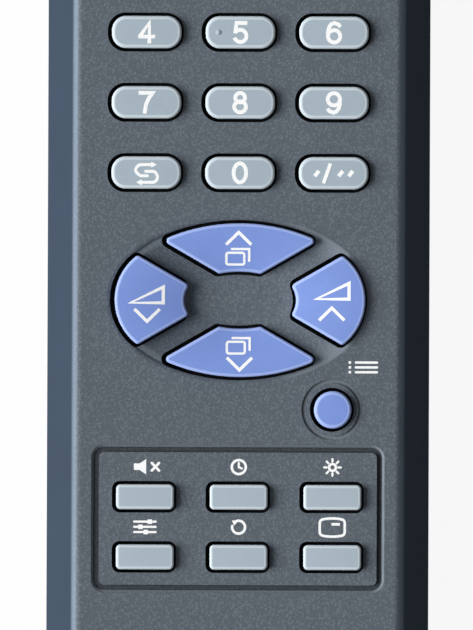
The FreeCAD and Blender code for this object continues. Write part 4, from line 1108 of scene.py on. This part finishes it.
class Symbol(Enum):
    """Plain digits and generic signs for the keys and the face, in millimetres about their middle."""

    DIGIT_0 = (oval(0.8, 1.22),)
    DIGIT_1 = (bar((-0.56, 0.62), (-0.1, 0.86), (0.16, 1.1), width=0.44), bar((0.16, 1.46), (0.16, -1.46)))
    DIGIT_2 = (curl(arc(0, 0.46, 0.78, 176, -28), (0.1, -0.45), (-0.72, -1.2), (1.02, -1.2)),)
    DIGIT_3 = (curl(arc(-0.04, 0.6, 0.64, 168, -90)), curl(arc(-0.04, -0.53, 0.72, 90, -168)))
    DIGIT_4 = (bar((0.34, -1.46), (0.34, 1.16), (-0.84, -0.52)), bar((-1.08, -0.6), (1.1, -0.6), width=0.46))
    DIGIT_5 = (bar((0.9, 1.2), (-0.48, 1.2), (-0.66, -0.14)), curl(arc(0, -0.46, 0.78, 146, -164)))
    DIGIT_6 = (
        oval(0.78, 0.78, -0.47),
        curl((0.8, 0.72), (0.6, 1.02), (0.05, 1.24), (-0.34, 1.1), (-0.62, 0.72), (-0.77, 0.15), (-0.78, -0.5)),
    )
    DIGIT_7 = (bar((-1.02, 1.2), (0.8, 1.2), (0.3, 0.5), (-0.04, -0.25), (-0.24, -1.46)),)
    DIGIT_8 = (oval(0.62, 0.6, 0.63), oval(0.75, 0.7, -0.54))
    DIGIT_9 = (
        oval(0.78, 0.78, 0.47),
        curl((-0.8, -0.72), (-0.6, -1.02), (-0.05, -1.24), (0.34, -1.1), (0.62, -0.72), (0.77, -0.15), (0.78, 0.5)),
    )
    CHEVRON_UP = (bar((-1.62, -0.84), (0, 0.74), (1.62, -0.84), width=0.4),)
    CHEVRON_DOWN = (bar((-1.62, 0.84), (0, -0.74), (1.62, 0.84), width=0.4),)
    SWAP = (
        line((0.75, 1.01), (-0.66, 1.01), (-0.95, 0.93), (-1.24, 0.66), (-1.36, 0.33), (-1.24, 0.03),
             (-0.98, -0.25), (-0.78, -0.38), (-0.6, -0.42), (0.17, -0.42), width=0.38),
        head((1.34, 1.01), (0.62, 1.01), 0.78),
        line((-0.06, 0.15), (0.95, 0.15), (1.15, 0.06), (1.38, -0.25), (1.5, -0.58), (1.4, -0.88),
             (1.15, -1.16), (0.9, -1.25), (-0.6, -1.25), width=0.38),
        head((-1.26, -1.25), (-0.54, -1.25), 0.78),
    )
    ONE_OR_TWO = (
        *(bar((x - 0.27, -0.4), (x + 0.27, 0.3), width=0.5) for x in (-2.15, 0.92, 2.2)),
        bar((-1.3, -1.3), (-0.38, 1.25), width=0.46),
    )
    WEDGE = (loop((2.1, -0.95), (-2.1, -0.95), (2.1, 1.08), width=0.42),)
    CARDS = (
        frame_line(-0.42, -0.28, 2.3, 1.5, 0.25, 0.3),
        line((-0.85, 0.95), (1.35, 0.95), (1.35, -0.55), width=0.3),
    )
    LIST = tuple(line((-0.95, y), (1.75, y), width=0.3) for y in (0.62, 0, -0.62)) + tuple(
        dot(-1.72, y, 0.32) for y in (0.62, 0, -0.62))
    SILENCE = (
        Stroke(((-1.25, 0), (-0.6, 0)), widths=(0.72, 0.72)), Stroke(((-0.62, 0), (0.12, 0)), widths=(0.72, 1.7)),
        line((0.75, 0.42), (1.55, -0.42), width=0.28), line((0.75, -0.42), (1.55, 0.42), width=0.28),
    )
    CLOCK = (ring(0, 0, 0.78, 0.28), line((0, 0.45), (0, 0), (0.34, -0.16), width=0.24))
    SUN = (ring(0, 0, 0.38, 0.28),) + tuple(
        line((0.66 * math.cos(turn), 0.66 * math.sin(turn)), (0.92 * math.cos(turn), 0.92 * math.sin(turn)), width=0.24)
        for turn in (math.tau * k / 8 for k in range(8)))
    SLIDERS = tuple(line((-1.2, y), (1.2, y), width=0.24) for y in (0.58, 0, -0.58)) + (
        dot(0.55, 0.58, 0.5), dot(-0.5, 0, 0.5), dot(0.1, -0.58, 0.5))
    RESET = (arc(0, 0, 0.72, 120, -190, 0.28), head((-0.02, 0.72), (-0.62, 0.46), 0.62))
    SCREEN = (frame_line(0, 0, 3.2, 1.9, 0.35, 0.32, 0.22), bar((-0.1, 0.42), (0.98, 0.42), width=0.34))
    POWER = (arc(0, -0.08, 0.95, 125, 415, 0.3), line((0, 0.25), (0, 1.15), width=0.3))
    SOURCE = (
        frame_line(0.35, 0, 2.0, 1.7, 0.25, 0.28), line((-1.6, 0), (-0.1, 0), width=0.28),
        head((0.5, 0), (-0.12, 0), 0.72),
    )
    PLUS = (line((-1.1, 0), (1.1, 0), width=0.45), line((0, -1.1), (0, 1.1), width=0.45))
    MINUS = (line((-1.1, 0), (1.1, 0), width=0.45),)


@dataclass(frozen=True)
class Printer:
    """Lays thin ink on a surface and lets it ride on the body underneath. Negative heights print downwards."""

    ink: bpy.types.Material
    lift: float = 0.016 * MM
    layer: float = 0.006 * MM
    sink: float = 0.02 * MM

    def symbol(self, name: str, symbol: Symbol, body: str, middle: Point,
               surface: Callable[[float, float], float], size: float = 1.0) -> bpy.types.Object:
        """Print a symbol.

        Args:
            name: the piece's name.
            symbol: what to draw.
            body: the body that it rides on.
            middle: where its middle lies, in metres.
            surface: gives the height to print on.
            size: its size as a share of the drawn one.

        Returns:
            The print.
        """
        build = bmesh.new()
        for k, stroke in enumerate(symbol.value):
            spots = [[Vector(middle) + spot * size * MM for spot in pair] for pair in stroke.sections()]
            self.strip(build, spots, surface, self.lift + k % 4 * self.layer)
        return self.finish(name, build, body)

    def strip(self, build: bmesh.types.BMesh, spots: Sequence[Sequence[Vector]],
              surface: Callable[[float, float], float], lift: float) -> None:
        """Add one closed stroke, cut finely enough to follow the surface."""
        rows = [spots[0]]
        for before, after in zip(spots, spots[1:]):
            steps = max(1, math.ceil((after[0] - before[0]).length / (0.3 * MM)))
            rows += [[a.lerp(b, step / steps) for a, b in zip(before, after)] for step in range(1, steps + 1)]
        closed = (rows[0][0] - rows[-1][0]).length < 1e-9
        if closed:
            rows.pop()
        made = []
        for left, right in rows:
            heights = surface(left.x, left.y), surface(right.x, right.y)
            made.append([build.verts.new((left.x, left.y, heights[0] - self.sink)),
                         build.verts.new((right.x, right.y, heights[1] - self.sink)),
                         build.verts.new((right.x, right.y, heights[1] + lift)),
                         build.verts.new((left.x, left.y, heights[0] + lift))])
        for before, after in zip(made, made[1:] + made[:1] if closed else made[1:]):
            for k in range(4):
                build.faces.new((before[k - 1], before[k], after[k], after[k - 1]))
        if not closed:
            build.faces.new(made[0])
            build.faces.new(made[-1][::-1])

    def finish(self, name: str, build: bmesh.types.BMesh, body: str) -> bpy.types.Object:
        """Turn the build into a piece that rides on a body."""
        bmesh.ops.recalc_face_normals(build, faces=build.faces)
        mesh = bpy.data.meshes.new(name)
        build.to_mesh(mesh)
        build.free()
        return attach(show(name, mesh, self.ink), body)


class Legends:
    """Everything printed on the keys and on the face."""

    def __init__(self, palette: Palette, keypad: Keypad) -> None:
        """Work out where the face lies."""
        self.printer = Printer(palette.ink)
        self.keys = keypad.keys
        self.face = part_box("upper_case")[1].z

    def build(self) -> None:
        """Print the digits, the key signs and the face signs."""
        for number in range(10):
            key = self.keys[f"key_{number}"]
            self.printer.symbol(f"print_{number}", Symbol[f"DIGIT_{number}"], key.node, key.centre, key.surface)
        for name, symbol in (("recall", Symbol.SWAP), ("digits", Symbol.ONE_OR_TWO), ("power", Symbol.POWER),
                             ("source", Symbol.SOURCE)):
            key = self.keys[f"key_{name}"]
            self.printer.symbol(f"print_{name}", symbol, key.node, key.centre, key.surface)
        self.print_pad()
        self.print_face()
        log.info("legends printed")

    def print_pad(self) -> None:
        """The signs of the four direction keys, at their places from the pad's centre."""
        signs = (
            ("channel_up", "arrow", Symbol.CHEVRON_UP, 0.0, 7.95), ("channel_up", "cards", Symbol.CARDS, 0.0, 5.6),
            ("channel_down", "arrow", Symbol.CHEVRON_DOWN, 0.15, -8.2),
            ("channel_down", "cards", Symbol.CARDS, 0.1, -5.8),
            ("volume_down", "arrow", Symbol.CHEVRON_DOWN, -11.7, -2.02),
            ("volume_down", "wedge", Symbol.WEDGE, -11.73, 0.57),
            ("volume_up", "arrow", Symbol.CHEVRON_UP, 11.95, -1.7),
            ("volume_up", "wedge", Symbol.WEDGE, 12.05, 1.13),
        )
        for name, part, symbol, x, y in signs:
            key = self.keys[f"key_{name}"]
            middle = (x * MM, key.centre.y + y * MM)
            self.printer.symbol(f"print_{name}_{part}", symbol, key.node, middle, key.surface)

    def print_face(self) -> None:
        """Signs in place of the words over the function keys and the menu key."""
        above = 3.85 * MM
        signs = (("mute", Symbol.SILENCE), ("timer", Symbol.CLOCK), ("picture", Symbol.SUN),
                 ("system", Symbol.SLIDERS), ("normal", Symbol.RESET), ("display", Symbol.SCREEN))
        for name, symbol in signs:
            centre = self.keys[f"key_{name}"].centre
            size = 1.0 if symbol is Symbol.SCREEN else 1.15
            self.on_face(f"print_{name}", symbol, (centre.x, centre.y + above), size)
        menu = self.keys["key_menu"].centre
        self.on_face("print_menu", Symbol.LIST, (menu.x + 3.9 * MM, menu.y + 5.45 * MM))

    def on_face(self, name: str, symbol: Symbol, middle: Point, size: float = 1.0) -> None:
        """Print a sign on the case."""
        self.printer.symbol(name, symbol, "case", middle, lambda x, y: self.face, size)


# Back and battery bay

CELLS = ("battery_cell_left", "battery_cell_right")


def cap_side(cell: str) -> float:
    """1 where a cell's cap is at its +Y end, -1 where it is at its -Y end."""
    middle, contact = (sum(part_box(name), Vector()) / 2 for name in (cell, "positive_contact"))
    touches = (middle.x > 0) == (contact.x > 0)
    return 1.0 if touches == (contact.y > middle.y) else -1.0


@dataclass(frozen=True)
class Grip:
    """Fine rounded ribs between the grooves of the battery door."""

    count: int = 6
    pitch: float = 1.8 * MM
    start: float = 12.9 * MM
    width: float = 13.6 * MM
    radius: float = 0.34 * MM
    rise: float = 0.14 * MM

    def build(self, material: bpy.types.Material) -> bpy.types.Object:
        """Make the ribs with Geometry Nodes and let them ride on the door."""
        low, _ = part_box("battery_door")
        recipe = Recipe("grip_ribs")
        count, pitch = recipe.input("Count", self.count), recipe.input("Pitch", self.pitch)
        width, radius = recipe.input("Width", self.width), recipe.input("Radius", self.radius)
        circle = recipe.out(recipe.node("GeometryNodeCurvePrimitiveCircle", {}, {"Resolution": 16, "Radius": radius}))
        length = recipe.out(recipe.node("GeometryNodeCurvePrimitiveLine", {}, {
            "Start": recipe.vector(width * -0.5), "End": recipe.vector(width * 0.5)}))
        rows = recipe.out(recipe.node("GeometryNodeMeshLine", {}, {"Count": count, "Offset": recipe.vector(0, pitch)}))
        ribs = recipe.copies(rows, recipe.swept(length, circle))
        place = (0, low.y + self.start, low.z + self.radius - self.rise)
        piece = recipe.mesh("grip_ribs", recipe.moved(ribs, place), material)
        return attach(piece, "battery_door")


class BayMarks:
    """Plus and minus signs beside the cells, printed on the ledge under the battery door."""

    aside: float = 2.65 * MM
    inset: float = 3.5 * MM

    def __init__(self, palette: Palette) -> None:
        """Set up printing on a face that looks down."""
        self.printer = Printer(palette.ink, -0.016 * MM, -0.006 * MM, -0.02 * MM)
        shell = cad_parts["lower_case"].data
        self.shell = BVHTree.FromPolygons([corner.co for corner in shell.vertices],
                                          [tuple(face.vertices) for face in shell.polygons])

    def build(self) -> None:
        """Print a plus at each cell's cap end and a minus at its flat end."""
        for name in CELLS:
            low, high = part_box(name)
            x = high.x + self.aside if low.x > 0 else low.x - self.aside
            ends = (low.y + self.inset, high.y - self.inset)
            plus, minus = ends if cap_side(name) < 0 else ends[::-1]
            for sign, y in ((Symbol.PLUS, plus), (Symbol.MINUS, minus)):
                hit = self.shell.ray_cast(Vector((x, y, -MM)), Vector((0, 0, 1)))[0]
                self.printer.symbol(f"mark_{name}_{sign.name.lower()}", sign, "case", (x, y), lambda *_: hit.z)
        log.info("polarity marks printed at %.2f mm", hit.z / MM)


# CAD nodes that show as they are

class Nodes:
    """Finishes for the nodes that keep their own geometry."""

    def __init__(self, palette: Palette) -> None:
        """Sort the nodes by finish."""
        self.finishes = {
            palette.case: ("upper_case", "lower_case", "battery_door"),
            palette.window: ("ir_window",),
            palette.silicone: ("keypad_mat", "keypad_webs"),
            palette.board: ("circuit_board",),
            palette.carbon: ("contact_pads",),
            palette.chip: ("control_chip", "driver_transistor"),
            palette.tin: ("chip_legs", "led_leads"),
            palette.ceramic: ("resonator", "resistors"),
            palette.epoxy: ("ir_led",),
            palette.sleeve: ("capacitor",),
            palette.contact: ("positive_contact", "negative_contact", "bridge_contact", "battery_springs"),
            palette.steel: ("case_screws", "board_screws"),
        }

    def build(self) -> None:
        """Give every node its finish, and the cells their sleeves."""
        for material, names in self.finishes.items():
            for name in names:
                self.dress(name, material)
        for name in CELLS:
            low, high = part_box(name)
            wrap = CellWrap(f"wrap_{name}", centre=(low.y + high.y) / 2, length=high.y - low.y, cap_end=cap_side(name))
            self.dress(name, wrap.material())
        log.info("CAD nodes finished")

    @staticmethod
    def dress(name: str, material: bpy.types.Material) -> None:
        """Put one material in every slot of a node."""
        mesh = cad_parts[name].data
        for k in range(len(mesh.materials)):
            mesh.materials[k] = material
        if not mesh.materials:
            mesh.materials.append(material)


# Studio

@dataclass(frozen=True)
class Studio:
    """Floor, light and camera, as in the photograph: straight from above, light from the left."""

    floor_half: float = 1.5
    floor_glow: float = 0.92
    ambient: float = 0.16
    distance: float = 2.5
    picture_height: float = 80.7 * MM
    sensor: float = 36.0
    aim: Point = (-0.25 * MM, -10.9 * MM)
    roll: float = 0.22

    def build(self) -> None:
        """Set up everything round the object."""
        self.add_floor()
        self.add_sun("key_light", 4.5, 34, 181, 42)
        self.add_sun("under_light", 2.6, -86, 200, 30)
        self.add_world()
        self.add_camera()
        scene = bpy.context.scene
        scene.view_settings.view_transform = "Standard"
        log.info("studio ready")

    def add_floor(self) -> None:
        """A pale floor that keeps the shadow and is clear from underneath, so that the back is lit and seen."""
        half = self.floor_half
        mesh = bpy.data.meshes.new("floor")
        mesh.from_pydata([(-half, -half, 0), (half, -half, 0), (half, half, 0), (-half, half, 0)], [], [(0, 1, 2, 3)])
        shader = Shader("floor_paper")
        path = shader.node("ShaderNodeLightPath")
        tone = shader.blend(shader.noise(0.3, 2), (0.93, 0.93, 0.93), (0.96, 0.96, 0.96))
        lit = shader.out(shader.node("ShaderNodeBsdfDiffuse", {}, {"Color": tone}))
        dim = shader.out(shader.node("ShaderNodeBsdfDiffuse", {}, {"Color": (0.18, 0.18, 0.18, 1)}))
        glow = shader.out(shader.node("ShaderNodeEmission", {}, {"Color": (1, 1, 1, 1)}))
        seen = shader.out(path, "Is Camera Ray") + shader.out(path, "Is Glossy Ray") * 0.05
        pale = shader.out(shader.node("ShaderNodeMixShader", {}, {0: self.floor_glow, 1: lit, 2: glow}))
        whole = shader.out(shader.node("ShaderNodeMixShader", {}, {0: seen, 1: dim, 2: pale}))
        behind = shader.out(shader.node("ShaderNodeNewGeometry"), "Backfacing")
        through = shader.maths("MAXIMUM", behind, shader.out(path, "Is Shadow Ray"))
        clear = shader.out(shader.node("ShaderNodeBsdfTransparent"))
        sided = shader.out(shader.node("ShaderNodeMixShader", {}, {0: through, 1: whole, 2: clear}))
        shader.node("ShaderNodeOutputMaterial", {}, {"Surface": sided})
        show("floor", mesh, shader.material)

    def add_sun(self, name: str, strength: float, elevation: float, azimuth: float, size: float) -> None:
        """Add a far lamp.

        Args:
            name: the lamp's name.
            strength: its light, in W/m2, on a surface that faces it.
            elevation: its height over the floor, in degrees.
            azimuth: where it stands, in degrees from +X towards +Y.
            size: how wide it looks, in degrees.
        """
        light = bpy.data.lights.new(name, "SUN")
        light.energy = strength
        light.angle = math.radians(size)
        lamp = bpy.data.objects.new(name, light)
        lamp.rotation_euler = Euler((0, math.radians(90 - elevation), math.radians(azimuth)))
        bpy.context.scene.collection.objects.link(lamp)

    def add_world(self) -> None:
        """White behind the object, and a weak even light all round."""
        world = bpy.data.worlds.new("studio")
        bpy.context.scene.world = world
        world.use_nodes = True
        graph = Graph(world.node_tree)
        world.node_tree.nodes.clear()
        path = graph.node("ShaderNodeLightPath")
        seen = graph.out(path, "Is Camera Ray") + graph.out(path, "Is Glossy Ray") * 0.2
        seen = graph.maths("MAXIMUM", seen, graph.out(path, "Is Transmission Ray"))
        strength = graph.maths("MINIMUM", seen, 1) * (1 - self.ambient) + self.ambient
        background = graph.node("ShaderNodeBackground", {}, {"Color": (1, 1, 1, 1), "Strength": strength})
        graph.node("ShaderNodeOutputWorld", {}, {"Surface": graph.out(background)})

    def add_camera(self) -> None:
        """A long lens straight above."""
        camera = bpy.data.cameras.new("camera")
        camera.sensor_width = self.sensor
        camera.lens = self.sensor * self.distance / self.picture_height
        camera.clip_end = 20
        eye = bpy.data.objects.new("camera", camera)
        eye.location = (*self.aim, self.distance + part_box("upper_case")[1].z)
        eye.rotation_euler = Euler((0, 0, math.radians(self.roll)))
        bpy.context.scene.collection.objects.link(eye)
        bpy.context.scene.camera = eye


def main() -> None:
    """Build the object and its studio."""
    palette = Palette()
    Nodes(palette).build()
    keypad = Keypad(palette)
    keypad.build()
    Legends(palette, keypad).build()
    Grip().build(palette.case)
    log.info("grip ribs placed")
    BayMarks(palette).build()
    Studio().build()


if __name__ == "__main__":
    logging.basicConfig(level=logging.INFO)
    main()
